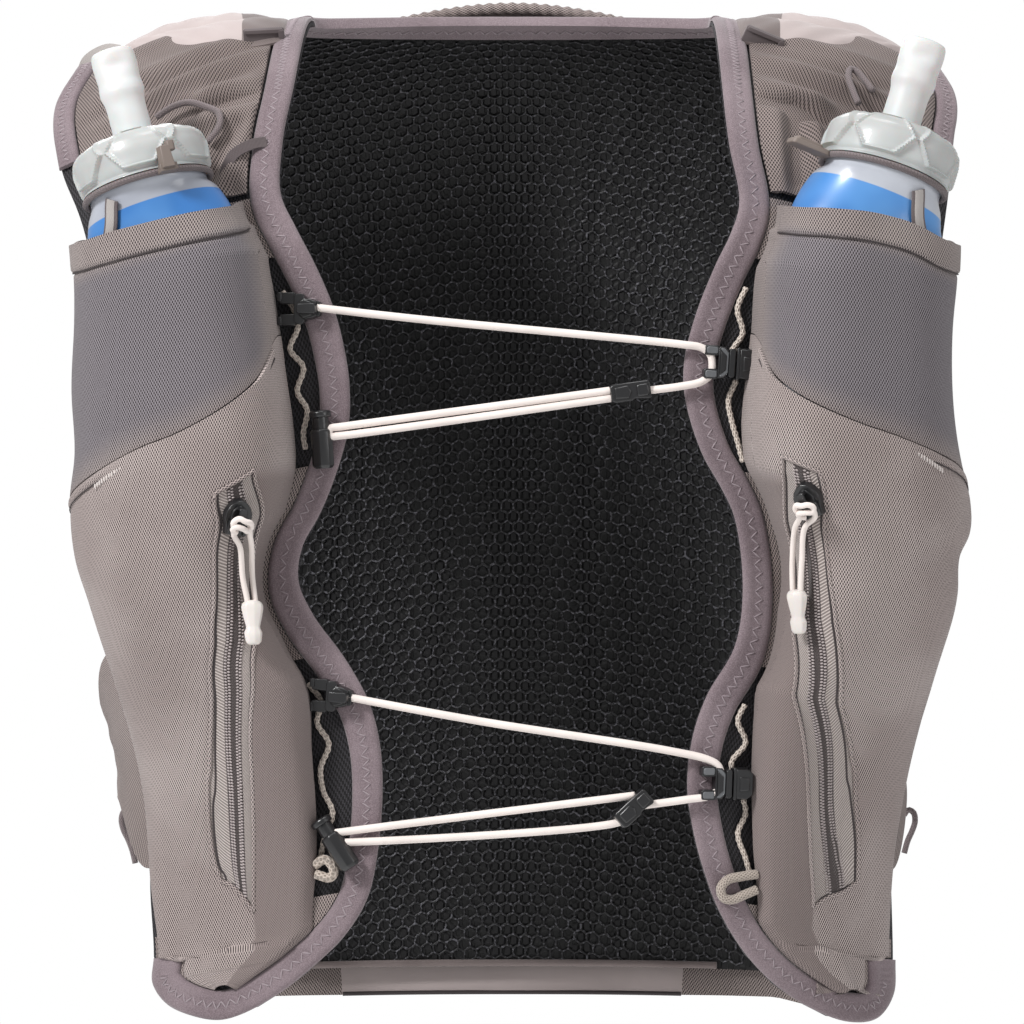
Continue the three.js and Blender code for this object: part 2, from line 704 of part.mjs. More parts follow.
function pouchLift(x, v) {
  const across = Math.cos((Math.PI / 2) * Math.min(1, Math.abs(x) / POUCH_HALF_WIDTH)) ** 0.6;
  return BACK_WALL + 2 * SEAM_GAP + POUCH_DEPTH * across * readTable(POUCH_PROFILE, 'down', 'depth', v);
}

function pouchPart(from, to, top, columns) {
  const surface = (u, v, lift) => {
    const x = THREE.MathUtils.lerp(from, to, u);
    const bottom = backBottom(x, POUCH_BELOW_MESH);
    const run = THREE.MathUtils.lerp(top, bottom, v);
    const reach = Math.min(1, (backHalf(run) - 2) / POUCH_HALF_WIDTH);
    const narrowed = Math.sign(x) * (Math.abs(x) > POUCH_CENTRE_HALF_WIDTH + SEAM_GAP
      ? THREE.MathUtils.mapLinear(Math.abs(x), POUCH_CENTRE_HALF_WIDTH, POUCH_HALF_WIDTH,
        POUCH_CENTRE_HALF_WIDTH, POUCH_HALF_WIDTH * reach)
      : Math.abs(x));
    const down = (run - POUCH_TOP) / (bottom - POUCH_TOP);
    return onBody(narrowed, run, pouchLift(x, down) + lift);
  };
  return sheet(surface, { columns, rows: 12, inner: 0, outer: WOVEN_WALL });
}

function gatheredRim() {
  const rings = [];
  const stations = RIM_GATHERS * 2;
  const run = POUCH_TOP - RIM_DIAMETER / 2 + FIT_GAP;
  for (let i = 0; i <= stations; i += 1) {
    const x = THREE.MathUtils.mapLinear(i, 0, stations, RIM_HALF_LENGTH, -RIM_HALF_LENGTH);
    const radius = (RIM_DIAMETER / 2) * (i % 2 ? 0.86 : 1);
    const centre = onBody(x, run, pouchLift(x, 0));
    const ring = [];
    for (let k = 0; k < 6; k += 1) {
      const angle = (2 * Math.PI * k) / 6;
      ring.push(centre.clone().add(
        new THREE.Vector3(0, radius * Math.cos(angle), radius * Math.sin(angle)),
      ));
    }
    rings.push(ring);
  }
  return loft(rings);
}

// Side wings: round the waist from the front lining to the back mesh

const WING_ROWS = [
  { along: 0, top: 0.6, bottom: 0.83 }, { along: 0.35, top: 0.655, bottom: 0.76 },
  { along: 0.65, top: 0.65, bottom: 0.77 }, { along: 1, top: 0.6, bottom: 0.84 },
];

const WING_GAP = { left: 0.75, right: 0.4 };

function sideWing(side) {
  const surface = (u, v, lift) => {
    const top = readTable(WING_ROWS, 'along', 'top', u);
    const drop = FRONT_DROP * THREE.MathUtils.lerp(top, readTable(WING_ROWS, 'along', 'bottom', u), v);
    const run = runOf(drop);
    const angleAt = (x) => Math.acos((x / bodyHalf(drop)) ** (BODY_SQUARENESS / 2));
    const front = -angleAt(liningRow(side, run).outer + WING_GAP[side.name]);
    const back = angleAt(backHalf(run) + 4 * SEAM_GAP);
    const round = (a, d) => {
      const half = bodyHalf(d);
      const x = half * Math.cos(a) ** (2 / BODY_SQUARENESS);
      const y = BODY_HALF_DEPTH * Math.sign(a) * Math.abs(Math.sin(a)) ** (2 / BODY_SQUARENESS);
      return new THREE.Vector3(side.sign * x, y, shoulderLine(x) - d);
    };
    const angle = THREE.MathUtils.lerp(front, back, u);
    return lifted((a, b) => round(a / 100, b), angle * 100, drop, lift);
  };
  return sheet(surface, { columns: 10, rows: 3, inner: 0, outer: KNIT_WALL });
}

// Zips on the lower pockets

const ZIP_LINE = {
  left: [
    { drop: 0.472, u: 0.31 }, { drop: 0.52, u: 0.268 }, { drop: 0.588, u: 0.265 },
    { drop: 0.682, u: 0.423 }, { drop: 0.779, u: 0.47 }, { drop: 0.87, u: 0.475 },
  ],
  right: [
    { drop: 0.451, u: 0.3 }, { drop: 0.504, u: 0.262 }, { drop: 0.614, u: 0.3 },
    { drop: 0.709, u: 0.441 }, { drop: 0.773, u: 0.471 }, { drop: 0.87, u: 0.478 },
  ],
};
const ZIP_START = { left: 0.476, right: 0.456 };
const ZIP_END = 0.87;

function zipU(side, run) {
  return readTable(ZIP_LINE[side.name], 'drop', 'u', dropOf(run) / FRONT_DROP);
}

function zipTape(side) {
  const start = runOf(ZIP_START[side.name] * FRONT_DROP);
  const end = runOf(ZIP_END * FRONT_DROP);
  const surface = (u, v, lift) => {
    const run = THREE.MathUtils.lerp(start, end, v);
    const seams = pocketSeams(side, run);
    const half = ZIP_WIDTH / 2 / (seams.outer - seams.inner) / 1.5;
    return onPocket(side, zipU(side, run) + THREE.MathUtils.lerp(-half, half, u), run, lift);
  };
  return sheet(surface, {
    columns: 3, rows: 12, inner: TAPE_LIFT, outer: TAPE_LIFT + ZIP_WALL,
  });
}

// Zip slider: a teardrop plate with a bridge that the pull cord passes through

const SLIDER = { length: 14.7, width: 11.3, thickness: 2.4, bridge: 3, reach: 8, height: 3.2 };
const SLIDER_DROP = { left: 0.497, right: 0.4755 };
const SLIDER_OUTLINE = [
  { x: 0, y: 0.5 }, { x: 0.28, y: 0.38 }, { x: 0.5, y: 0.14 }, { x: 0.5, y: -0.03 },
  { x: 0.36, y: -0.5 },
];

function sliderFrame(side) {
  const run = runOf(SLIDER_DROP[side.name] * FRONT_DROP);
  const lift = TAPE_LIFT + ZIP_WALL + FIT_GAP;
  const u = zipU(side, run);
  const origin = onPocket(side, u, run, lift);
  const out = onPocket(side, u, run, lift + 1).sub(origin).normalize();
  const up = onPocket(side, zipU(side, run - 1), run - 1, lift).sub(origin);
  up.addScaledVector(out, -up.dot(out)).normalize();
  return new THREE.Matrix4().makeBasis(up.clone().cross(out), up, out).setPosition(origin);
}

function zipSlider(side) {
  const half = SLIDER_OUTLINE.map((row) => [row.x * SLIDER.width, row.y * SLIDER.length]);
  const mirrored = half.slice(1).reverse().map(([x, y]) => [-x, y]);
  const body = plate([...half, ...mirrored], SLIDER.thickness);
  const bridge = new THREE.BoxGeometry(SLIDER.bridge, SLIDER.reach, SLIDER.height)
    .translate(0, 0, SLIDER.thickness + SLIDER.height / 2 - SEAM_GAP);
  const slider = joined(body, bridge).applyMatrix4(sliderFrame(side));
  const name = `zip_pull_${side.name}`;
  return cut(slider, channel(name, PULL_CORD_DIAMETER, PULL_STEPS));
}

// Pull end: a moulded bead with two swellings, into which both strands run
const PULL_END = { length: 17, diameter: 8.2, flatness: 0.72 };
const PULL_END_PROFILE = [
  { radius: 0, along: 0 }, { radius: 0.5, along: 0 }, { radius: 0.84, along: 0.2 },
  { radius: 0.8, along: 0.32 }, { radius: 0.68, along: 0.42 }, { radius: 1, along: 0.82 },
  { radius: 0.6, along: 1 }, { radius: 0, along: 1 },
];
const PULL_STEPS = 22;

function pullEnd(side) {
  const name = `zip_pull_${side.name}`;
  const points = route(name);
  const top = points[0].clone().add(points[points.length - 1]).multiplyScalar(0.5);
  const across = points[points.length - 1].clone().sub(points[0]).normalize();
  const axis = points[1].clone().add(points[points.length - 2]).multiplyScalar(0.5)
    .sub(top).normalize();
  axis.addScaledVector(across, -axis.dot(across)).normalize();
  const frame = new THREE.Matrix4().makeBasis(across, axis.clone().cross(across), axis)
    .setPosition(top.clone().addScaledVector(axis, PULL_GRIP - PULL_END.length));
  const rows = PULL_END_PROFILE.map(
    (row) => [(row.radius * PULL_END.diameter) / 2, row.along * PULL_END.length],
  );
  const bead = turned(rows, 10).scale(1, PULL_END.flatness, 1).applyMatrix4(frame);
  return cut(bead, channel(name, PULL_CORD_DIAMETER, PULL_STEPS));
}

const PULL_GRIP = 6;             // length of cord inside the bead

// Flasks

function pocketCentre(side, run) {
  const middle = pocketForm(side, 0.5, run);
  const seams = pocketSeams(side, run);
  const a = onBody(side.sign * seams.inner, -run, POCKET_BASE);
  const b = onBody(side.sign * seams.outer, -run, POCKET_BASE);
  const foot = a.clone().lerp(b, 0.5);
  return { centre: foot.clone().lerp(middle, FLASK_SEAT), across: b.clone().sub(a).normalize() };
}

const FLASK_LEAN = { left: 15.5, right: 18 };      // degrees outwards at the neck
const FLASK_TIP_BACK = 8;                        // degrees back at the neck
const NECK_PLACE = {                             // middle of the cap's foot, shares of HALF_WIDTH
  left: { x: 0.805, y: -0.602, z: -0.36 },
  right: { x: 0.822, y: -0.594, z: -0.334 },
};

const FLASK_SEAT = 0.55;         // how far out the flask sits, share of the pocket's depth
const NECK_RADIUS = CAP_DIAMETER / 2 - CAP_WALL - FIT_GAP;
const NECK_HEIGHT = 12.5;
const NECK_STEP = FIT_GAP * 2 + ELASTIC_DIAMETER + 0.3;  // bare neck below the cap, for the cord
const FLASK_BOTTOM = 0.53;                       // drop of the flask's foot in its pocket
const FLASK_SPINE = [FLASK_BOTTOM, 0.45, 0.37, 0.3];
const FLASK_SECTIONS = [
  { along: 0, width: 0.7, thickness: 0.14 }, { along: 0.03, width: 0.86, thickness: 0.46 },
  { along: 0.1, width: 0.95, thickness: 0.76 }, { along: 0.22, width: 0.98, thickness: 0.93 },
  { along: 0.4, width: 0.99, thickness: 1 }, { along: 0.58, width: 1, thickness: 1 },
  { along: 0.74, width: 1, thickness: 1 }, { along: 0.86, width: 0.96, thickness: 0.93 },
  { along: 0.93, width: 0.86, thickness: 0.93 }, { along: 0.97, width: 0.79, thickness: 0.98 },
];

// Frame of a flask's neck: z runs up its axis, y to its front, x across
function neckFrame(side) {
  const lean = THREE.MathUtils.degToRad(FLASK_LEAN[side.name]);
  const tip = THREE.MathUtils.degToRad(FLASK_TIP_BACK);
  const up = new THREE.Vector3(
    side.sign * Math.sin(lean) * Math.cos(tip), Math.sin(tip), Math.cos(lean) * Math.cos(tip),
  );
  const across = new THREE.Vector3(1, 0, 0).addScaledVector(up, -up.x).normalize();
  const back = up.clone().cross(across);
  const place = NECK_PLACE[side.name];
  const origin = new THREE.Vector3(side.sign * place.x, place.y, place.z)
    .multiplyScalar(HALF_WIDTH);
  return new THREE.Matrix4().makeBasis(across, back, up).setPosition(origin);
}

function flask(side) {
  const frame = neckFrame(side);
  const up = new THREE.Vector3().setFromMatrixColumn(frame, 2);
  const foot = new THREE.Vector3().setFromMatrixPosition(frame);
  const shoulder = foot.clone().addScaledVector(up, -NECK_STEP);
  const centres = FLASK_SPINE.map((drop) => pocketCentre(side, runOf(drop * FRONT_DROP)).centre);
  const spine = new THREE.CatmullRomCurve3(
    [...centres, foot.clone().addScaledVector(up, -24), shoulder], false, 'centripetal',
  );
  const low = pocketCentre(side, runOf(FLASK_SPINE[1] * FRONT_DROP)).across;
  const high = new THREE.Vector3().setFromMatrixColumn(frame, 0).multiplyScalar(side.sign);
  const ringSides = 14;
  const ringAt = (centre, tangent, wide, halfWidth, halfThickness) => {
    const major = wide.clone().addScaledVector(tangent, -wide.dot(tangent)).normalize();
    const minor = tangent.clone().cross(major);
    const ring = [];
    for (let k = 0; k < ringSides; k += 1) {
      const angle = (2 * Math.PI * k) / ringSides;
      ring.push(centre.clone()
        .addScaledVector(major, halfWidth * Math.cos(angle))
        .addScaledVector(minor, halfThickness * Math.sin(angle)));
    }
    return ring;
  };
  const rings = FLASK_SECTIONS.map((row) => ringAt(
    spine.getPointAt(row.along),
    spine.getTangentAt(row.along),
    low.clone().lerp(high, THREE.MathUtils.smoothstep(row.along, 0.7, 1)),
    (row.width * FLASK_WIDTH) / 2,
    (row.thickness * FLASK_THICKNESS) / 2,
  ));
  for (const height of [-NECK_STEP, NECK_HEIGHT]) {
    const centre = foot.clone().addScaledVector(up, height);
    rings.push(ringAt(centre, up, high, NECK_RADIUS, NECK_RADIUS));
  }
  return loft(rings);
}

function turned(profile, segments) {
  const geometry = new THREE.LatheGeometry(
    profile.map(([radius, height]) => new THREE.Vector2(radius, height)), segments,
  );
  return geometry.rotateX(Math.PI / 2);
}

const CAP_PROFILE = [
  { radius: 0, height: 0 }, { radius: 0.94, height: 0 }, { radius: 0.99, height: 0.1 },
  { radius: 1, height: 0.34 }, { radius: 0.98, height: 0.64 }, { radius: 0.9, height: 0.86 },
  { radius: 0.55, height: 0.98 }, { radius: 0, height: 1 },
];

function flaskCap() {
  const scaled = (rows, radius, height) => rows.map((r) => [r.radius * radius, r.height * height]);
  const outside = turned(scaled(CAP_PROFILE, CAP_DIAMETER / 2, CAP_HEIGHT), 12);
  const bore = (NECK_RADIUS + FIT_GAP) / Math.cos(Math.PI / 24);
  const inside = turned([[0, -1], [bore, -1], [bore, NECK_HEIGHT + FIT_GAP],
    [0, NECK_HEIGHT + FIT_GAP]], 24);
  return cut(outside, inside);
}

const VALVE_PROFILE = [
  { radius: 0, height: 0 }, { radius: 0.88, height: 0 }, { radius: 0.9, height: 0.18 },
  { radius: 0.95, height: 0.36 }, { radius: 1, height: 0.5 }, { radius: 0.98, height: 0.56 },
  { radius: 0.93, height: 0.61 }, { radius: 0.94, height: 0.78 }, { radius: 0.88, height: 0.92 },
  { radius: 0.74, height: 0.99 }, { radius: 0, height: 1 },
];

function biteValve() {
  const rows = VALVE_PROFILE.map((r) => [(r.radius * VALVE_DIAMETER) / 2, r.height * VALVE_LENGTH]);
  return turned(rows, 14).translate(0, 0, CAP_HEIGHT + FIT_GAP);
}

const CORD_TAB = {
  left: { turn: 21, length: 5, rise: 8, width: 7 },
  right: { turn: -68, length: 15, rise: 3, width: 8 },
};

// Elastic round the neck, with its moulded tab
function flaskCord(side) {
  const radius = NECK_RADIUS + FIT_GAP + ELASTIC_DIAMETER / 2;
  const ring = new THREE.TorusGeometry(radius, ELASTIC_DIAMETER / 2, 6, 24);
  const tab = CORD_TAB[side.name];
  const clear = CAP_DIAMETER / 2 + FIT_GAP;
  const foot = new THREE.BoxGeometry(tab.width, clear + tab.length - radius, ELASTIC_DIAMETER)
    .translate(0, -(radius + clear + tab.length) / 2, 0);
  const head = new THREE.BoxGeometry(tab.width, tab.length, tab.rise)
    .translate(0, -(clear + tab.length / 2), tab.rise / 2 - ELASTIC_DIAMETER / 2);
  const turn = THREE.MathUtils.degToRad(tab.turn);
  return joined(ring, foot.rotateZ(turn), head.rotateZ(turn))
    .translate(0, 0, -FIT_GAP - ELASTIC_DIAMETER / 2);
}

// Hardware of the front closure

// A frame on the body: x to the right, y up the vest, z outwards
function seatOnBody(x, drop, lift) {
  const run = -runOf(drop);
  const origin = onBody(x, run, lift);
  const out = onBody(x, run, lift + 1).sub(origin).normalize();
  const up = onBody(x, run + 1, lift).sub(origin).normalize();
  const right = up.clone().cross(out).normalize();
  return new THREE.Matrix4().makeBasis(right, out.clone().cross(right), out).setPosition(origin);
}

function plate(outline, thickness) {
  const shape = new THREE.Shape(outline.map(([x, y]) => new THREE.Vector2(x, y)));
  return new THREE.ExtrudeGeometry(shape, { depth: thickness, bevelEnabled: false });
}

function chamfered(left, right, low, high, corner) {
  return [
    [left + corner, low], [right - corner, low], [right, low + corner], [right, high - corner],
    [right - corner, high], [left + corner, high], [left, high - corner], [left, low + corner],
  ];
}

const HARDWARE_LIFT = LINING_WALL + SEAM_GAP + BINDING_WALL + FIT_GAP;
const HOOK = { length: 14, height: 11.6, thickness: 5, slot: 3.4, corner: 1.2 };
const BUCKLE = { socket: 10.6, plug: 8.6, waist: 1, height: 12.4, thickness: 6.4, corner: 1.4 };
const TOGGLE = { flange: 4.1, neck: 2.7, radius: 4.3, length: 22.5 };
const ADJUSTER = { length: 15.4, height: 7.4, thickness: 6, corner: 1.2 };

function hookPlate() {
  const { length, height, thickness, slot, corner } = HOOK;
  const half = height / 2;
  const outline = [
    [-length / 2, half - corner], [-length / 2, slot / 2], [-1, slot / 2], [-1, -slot / 2],
    [-length / 2, -slot / 2], [-length / 2, -half + corner], [-length / 2 + corner, -half],
    [1, -half], [3, -half + corner], [length / 2, -half + 2 * corner],
    [length / 2, half - 2 * corner], [3, half - corner], [1, half], [-length / 2 + corner, half],
  ];
  return plate(outline, thickness);
}

function bucklePlate() {
  const { socket, plug, waist, height, thickness, corner } = BUCKLE;
  const half = height / 2;
  const outline = [
    [corner, -half], [socket - corner, -half], [socket, -half + corner], [socket, -half * 0.6],
    [socket + waist, -half * 0.6], [socket + waist, -half * 0.94],
    [socket + waist + plug, -half * 0.84], [socket + waist + plug, half * 0.84],
    [socket + waist, half * 0.94], [socket + waist, half * 0.6], [socket, half * 0.6],
    [socket, half - corner], [socket - corner, half], [corner, half], [0, half - corner],
    [0, -half + corner],
  ];
  return plate(outline, thickness);
}

function togglePin() {
  const { flange, neck, radius, length } = TOGGLE;
  return turned([
    [0, 0], [radius * 0.86, 0], [radius, 1], [radius, length * 0.66], [radius * 0.9, length * 0.7],
    [neck, length * 0.72], [neck, length * 0.9], [flange, length * 0.9], [flange, length],
    [0, length],
  ], 10);
}

// Cord routes, points in mm chosen by hand
const CORD_ROUTES = {
  closure_cord_upper: [
    [-80, -104.3, -109.4], [-74, -104.3, -110.2], [-31, -104.6, -115], [33, -104.6, -121],
    [66, -104.3, -124.3], [73, -103.8, -125.4], [76.6, -103.4, -128], [77.4, -103.3, -132],
    [76.6, -103.4, -136], [73, -103.8, -138.7], [66, -104.2, -140.3], [48, -104.6, -142.6],
  ],
  closure_cord_lower: [
    [-66, -103.3, -260], [-61, -103.4, -261], [-12, -104, -269.9], [60, -102.3, -281.2],
    [76, -101, -284.9], [80, -100.3, -287.5], [81, -100, -292], [80, -100.3, -296.5],
    [76, -101, -299], [68, -101.6, -300.2], [50, -102.4, -302.6],
  ],
  zip_pull_left: [
    [-100.5, -123.3, -228.7], [-101.2, -123.1, -222.6], [-102.8, -125, -213.8],
    [-103.4, -129.9, -202.7], [-105.4, -137, -197.5], [-104.8, -138.7, -194.5],
    [-102.2, -138.1, -192.9], [-99.5, -136.5, -193.7], [-99.5, -134.7, -196.7],
    [-99.3, -126.1, -202.7], [-99.3, -121.2, -213.9], [-98.3, -121, -222.7],
    [-97.7, -122.4, -228.7],
  ],
  zip_pull_right: [
    [107.8, -119.9, -224.6], [107.4, -120.3, -218.1], [107.2, -122, -207.3],
    [107.8, -128, -195.1], [109.3, -133.1, -190.9], [108.5, -135, -188.1],
    [110.7, -136.8, -186.8], [113.6, -137.7, -187.8], [114.9, -136.1, -190.6],
    [111.3, -130.7, -195.1], [110.6, -125.5, -207.3], [110.3, -122.8, -218],
    [110.6, -121.6, -224.6],
  ],
  cord_loop_left: [
    [-76.5, -99.1, -325.8], [-72.4, -100.4, -323.6], [-69.4, -101.1, -326.4],
    [-69.2, -101.1, -329.2], [-70.8, -100.6, -330.6], [-76.1, -99.2, -329.3],
  ],
  cord_loop_right: [
    [95.3, -93.6, -329.8], [89.2, -95.8, -330.5], [83.7, -97.4, -331.7], [81, -98.4, -334.8],
    [81.9, -98.1, -338.4], [85.5, -96.9, -339.4], [90.1, -95.6, -337.7], [95.1, -93.7, -335.8],
  ],
  neck_loop_left: [
    [-140.5, -65.2, -34.6], [-134.2, -64.9, -30.4], [-127.8, -66.3, -28.7], [-121, -70.3, -30.5],
    [-115, -74.6, -33.8], [-114.8, -78, -39.2], [-119.2, -80, -45.6],
  ],
  neck_loop_right: [
    [136.8, -63.6, -29], [134.8, -59.5, -22.9], [133.5, -54.7, -17.3], [135, -50.3, -13.8],
    [137.8, -50.9, -15.5], [140.7, -53.7, -19.5], [143.1, -56, -23.2],
  ],
  side_loop_left: [
    [-152.6, -24, -311.5], [-154.4, -24, -309.5], [-156.8, -24, -309.9], [-158, -24, -313],
    [-157.3, -24, -317.3], [-155.2, -24, -321.7], [-153.6, -24, -326.1], [-152.4, -24, -331.1],
  ],
  side_loop_right: [
    [159.5, -14, -312.3], [161.2, -14, -310.2], [163.4, -14, -311.3], [164, -14, -314.8],
    [162.8, -14, -318.8], [161, -14, -322.8], [159.6, -14, -327.8],
  ],
  rail_upper_left: [
    { x: 88.6, drop: 112 }, { x: 84.5, drop: 119 }, { x: 82.6, drop: 127 }, { x: 85.6, drop: 135 },
    { x: 80.5, drop: 143 }, { x: 82.8, drop: 152 }, { x: 79, drop: 160 }, { x: 80.5, drop: 169 },
    { x: 79.6, drop: 175 },
  ],
  rail_lower_left: [
    { x: 78.6, drop: 266 }, { x: 73.5, drop: 274 }, { x: 75, drop: 282 }, { x: 70.5, drop: 291 },
    { x: 73.6, drop: 300 }, { x: 72.6, drop: 309 }, { x: 69, drop: 318 }, { x: 72, drop: 327 },
    { x: 74.5, drop: 338 },
  ],
  rail_upper_right: [
    { x: 90.4, drop: 110 }, { x: 87, drop: 119 }, { x: 89, drop: 128 }, { x: 84.5, drop: 137 },
    { x: 86.5, drop: 146 }, { x: 83.5, drop: 155 }, { x: 84.8, drop: 163 }, { x: 87.2, drop: 171 },
    { x: 89.2, drop: 178 },
  ],
  rail_lower_right: [
    { x: 89.8, drop: 272 }, { x: 87, drop: 279 }, { x: 90, drop: 287 }, { x: 84.5, drop: 296 },
    { x: 87.5, drop: 305 }, { x: 90, drop: 314 }, { x: 87, drop: 323 }, { x: 90, drop: 332 },
    { x: 92, drop: 339 },
  ],
};

function route(name) {
  return CORD_ROUTES[name].map((point) => new THREE.Vector3(...point));
}

function railCord(name, side) {
  const lift = LINING_WALL + FIT_GAP + RAIL_CORD_DIAMETER / 2;
  const points = CORD_ROUTES[name].map((row) => onBody(side.sign * row.x, -runOf(row.drop), lift));
  return cordAlong(points, RAIL_CORD_DIAMETER, 16);
}

// The same cord, fat enough to cut its clearance out of what it passes through
function channel(name, diameter, steps) {
  return cordAlong(route(name), diameter + 2 * FIT_GAP, steps);
}

const [left, right] = sides;

addNode('back_mesh', backMesh(), MESH_BLACK);
addNode('neck_binding', neckBinding(), BINDING_MAUVE);
addNode('pouch_centre',
  pouchPart(-POUCH_CENTRE_HALF_WIDTH, POUCH_CENTRE_HALF_WIDTH, POUCH_TOP, 12), WOVEN_PALE);
addNode('gathered_rim', gatheredRim(), KNIT_TAUPE);

for (const side of sides) {
  const base = LINING_WALL + SEAM_GAP;
  addNode(`front_lining_${side.name}`, frontLining(side), MESH_BLACK);
  addNode(`edge_binding_${side.name}`,
    band(side.edge, 46, BINDING_WIDTH, side.sign, base, -1, 2), BINDING_MAUVE);
  addNode(`armhole_binding_${side.name}`,
    band(armholePath(side), 12, ARMHOLE_BINDING_WIDTH, side.sign, base, -1, 2), BINDING_MAUVE);
  addNode(`strap_cover_${side.name}`, strapCover(side), KNIT_TAUPE);
  addNode(`shoulder_yoke_${side.name}`, shoulderYoke(side), WOVEN_PALE);
  addNode(`side_wing_${side.name}`, sideWing(side), KNIT_TAUPE);
  const pouchInner = POUCH_CENTRE_HALF_WIDTH + 2 * SEAM_GAP;
  addNode(`pouch_side_${side.name}`, pouchPart(side.sign * pouchInner,
    side.sign * POUCH_HALF_WIDTH, YOKE_END + 2 * SEAM_GAP, 5), KNIT_TAUPE);

  addNode(`flask_pocket_${side.name}`, flaskPocket(side), KNIT_TAUPE);
  addNode(`zip_pocket_${side.name}`, zipPocket(side), KNIT_TAUPE);
  addNode(`zip_tape_${side.name}`, zipTape(side), KNIT_TAUPE);

  addNode(`flask_${side.name}`, flask(side), FILM_BLUE);
  const top = new THREE.Group();
  top.applyMatrix4(neckFrame(side));
  vest.add(top);
  addNode(`flask_cap_${side.name}`, flaskCap(), PLASTIC_CLEAR, top);
  addNode(`bite_valve_${side.name}`, biteValve(), SILICONE, top);
  addNode(`flask_cord_${side.name}`, flaskCord(side), CORD_TAUPE, top);
}

for (const [name, side] of [['rail_upper_left', left], ['rail_lower_left', left],
  ['rail_upper_right', right], ['rail_lower_right', right]]) {
  addNode(name, railCord(name, side), CORD_PALE);
}

// Closure: hooks on the left, buckles on the right, toggles and adjusters on the cords

const CLOSURE_STEPS = 24;
const CLOSURES = [
  {
    name: 'upper',
    hook: { x: -81.2, drop: 120.5, turn: 0 },
    buckle: { x: 73.4, drop: 142.4, turn: -4 },
    toggle: { x: -71.6, drop: 184, turn: 4 },
    adjuster: { x: 45.3, drop: 153.6, lift: 6.2, turn: 8 },
  },
  {
    name: 'lower',
    hook: { x: -68.6, drop: 272.6, turn: -4 },
    buckle: { x: 71.6, drop: 305.8, turn: -2 },
    toggle: { x: -60.6, drop: 340.5, turn: 34 },
    adjuster: { x: 46.2, drop: 317.6, lift: 6.2, turn: 42 },
  },
];

function placed(geometry, frame, turn = 0) {
  return geometry.rotateZ(THREE.MathUtils.degToRad(turn)).applyMatrix4(frame);
}

// Ends of the two strands of each loop: at the adjuster, then at the toggle
const LOOP_ENDS = {
  upper: [
    [[43, -104.9, -141.4], [-69.4, -105.6, -156.4]],
    [[43, -104.9, -144.9], [-69.4, -105.6, -159.9]],
  ],
  lower: [
    [[47.5, -102.7, -298.6], [-70.4, -103.8, -313.3]],
    [[41.5, -102.7, -309.4], [-70.4, -103.8, -316.9]],
  ],
};

// Two strands from the adjuster to the toggle and their short turn inside it
function loopStrands(name, diameter) {
  const pairs = LOOP_ENDS[name].map((pair) => pair.map((p) => new THREE.Vector3(...p)));
  const inset = CLOSURE_CORD_DIAMETER * 0.4;
  const turnEnds = pairs.map((pair) => pair[1].clone().add(new THREE.Vector3(inset, 0, 0)));
  return [...pairs, turnEnds].map((ends) => cordAlong(ends, diameter, 1));
}

for (const closure of CLOSURES) {
  const cordName = `closure_cord_${closure.name}`;
  const cord = cordAlong(route(cordName), CLOSURE_CORD_DIAMETER, CLOSURE_STEPS);
  const cordChannel = () => channel(cordName, CLOSURE_CORD_DIAMETER, CLOSURE_STEPS);
  const loopChannels = () => loopStrands(closure.name, CLOSURE_CORD_DIAMETER + 2 * FIT_GAP);
  const { hook, buckle, toggle, adjuster } = closure;
  const hookFrame = seatOnBody(hook.x, hook.drop, HARDWARE_LIFT);
  addNode(`hook_${closure.name}`,
    cut(placed(hookPlate(), hookFrame, hook.turn), cordChannel()), PLASTIC_BLACK);
  const buckleFrame = seatOnBody(buckle.x, buckle.drop, HARDWARE_LIFT);
  addNode(`buckle_${closure.name}`,
    cut(placed(bucklePlate(), buckleFrame, buckle.turn), cordChannel()), PLASTIC_BLACK);
  const pinFrame = seatOnBody(toggle.x, toggle.drop, HARDWARE_LIFT + TOGGLE.radius);
  const pin = togglePin().rotateX(-Math.PI / 2);
  addNode(`toggle_${closure.name}`,
    cut(placed(pin, pinFrame, toggle.turn), ...loopChannels()), PLASTIC_BLACK);
  const body = plate(chamfered(-ADJUSTER.length / 2, ADJUSTER.length / 2,
    -ADJUSTER.height / 2, ADJUSTER.height / 2, ADJUSTER.corner), ADJUSTER.thickness)
    .translate(0, 0, -ADJUSTER.thickness / 2);
  const clipFrame = seatOnBody(adjuster.x, adjuster.drop, adjuster.lift);
  addNode(`adjuster_${closure.name}`,
    cut(placed(body, clipFrame, adjuster.turn), cordChannel(), ...loopChannels()), PLASTIC_BLACK);
  addNode(cordName, cord, CORD_PALE);
  addNode(`closure_loop_${closure.name}`,
    joined(...loopStrands(closure.name, CLOSURE_CORD_DIAMETER)), CORD_PALE);
}

// Loose cords: knitted loops at the pocket edges, elastic loops at the necks and the sides

const LOOSE_CORDS = [
  { name: 'cord_loop_left', diameter: LOOP_CORD_DIAMETER, steps: 10, finish: CORD_PALE },
  { name: 'cord_loop_right', diameter: LOOP_CORD_DIAMETER, steps: 12, finish: CORD_PALE },
  { name: 'neck_loop_left', diameter: ELASTIC_DIAMETER, steps: 10, finish: CORD_TAUPE },
  { name: 'neck_loop_right', diameter: ELASTIC_DIAMETER, steps: 10, finish: CORD_TAUPE },
  { name: 'side_loop_left', diameter: SIDE_CORD_DIAMETER, steps: 12, finish: CORD_TAUPE },
  { name: 'side_loop_right', diameter: SIDE_CORD_DIAMETER, steps: 12, finish: CORD_TAUPE },
];

for (const { name, diameter, steps, finish } of LOOSE_CORDS) {
  addNode(name, cordAlong(route(name), diameter, steps), finish);
}

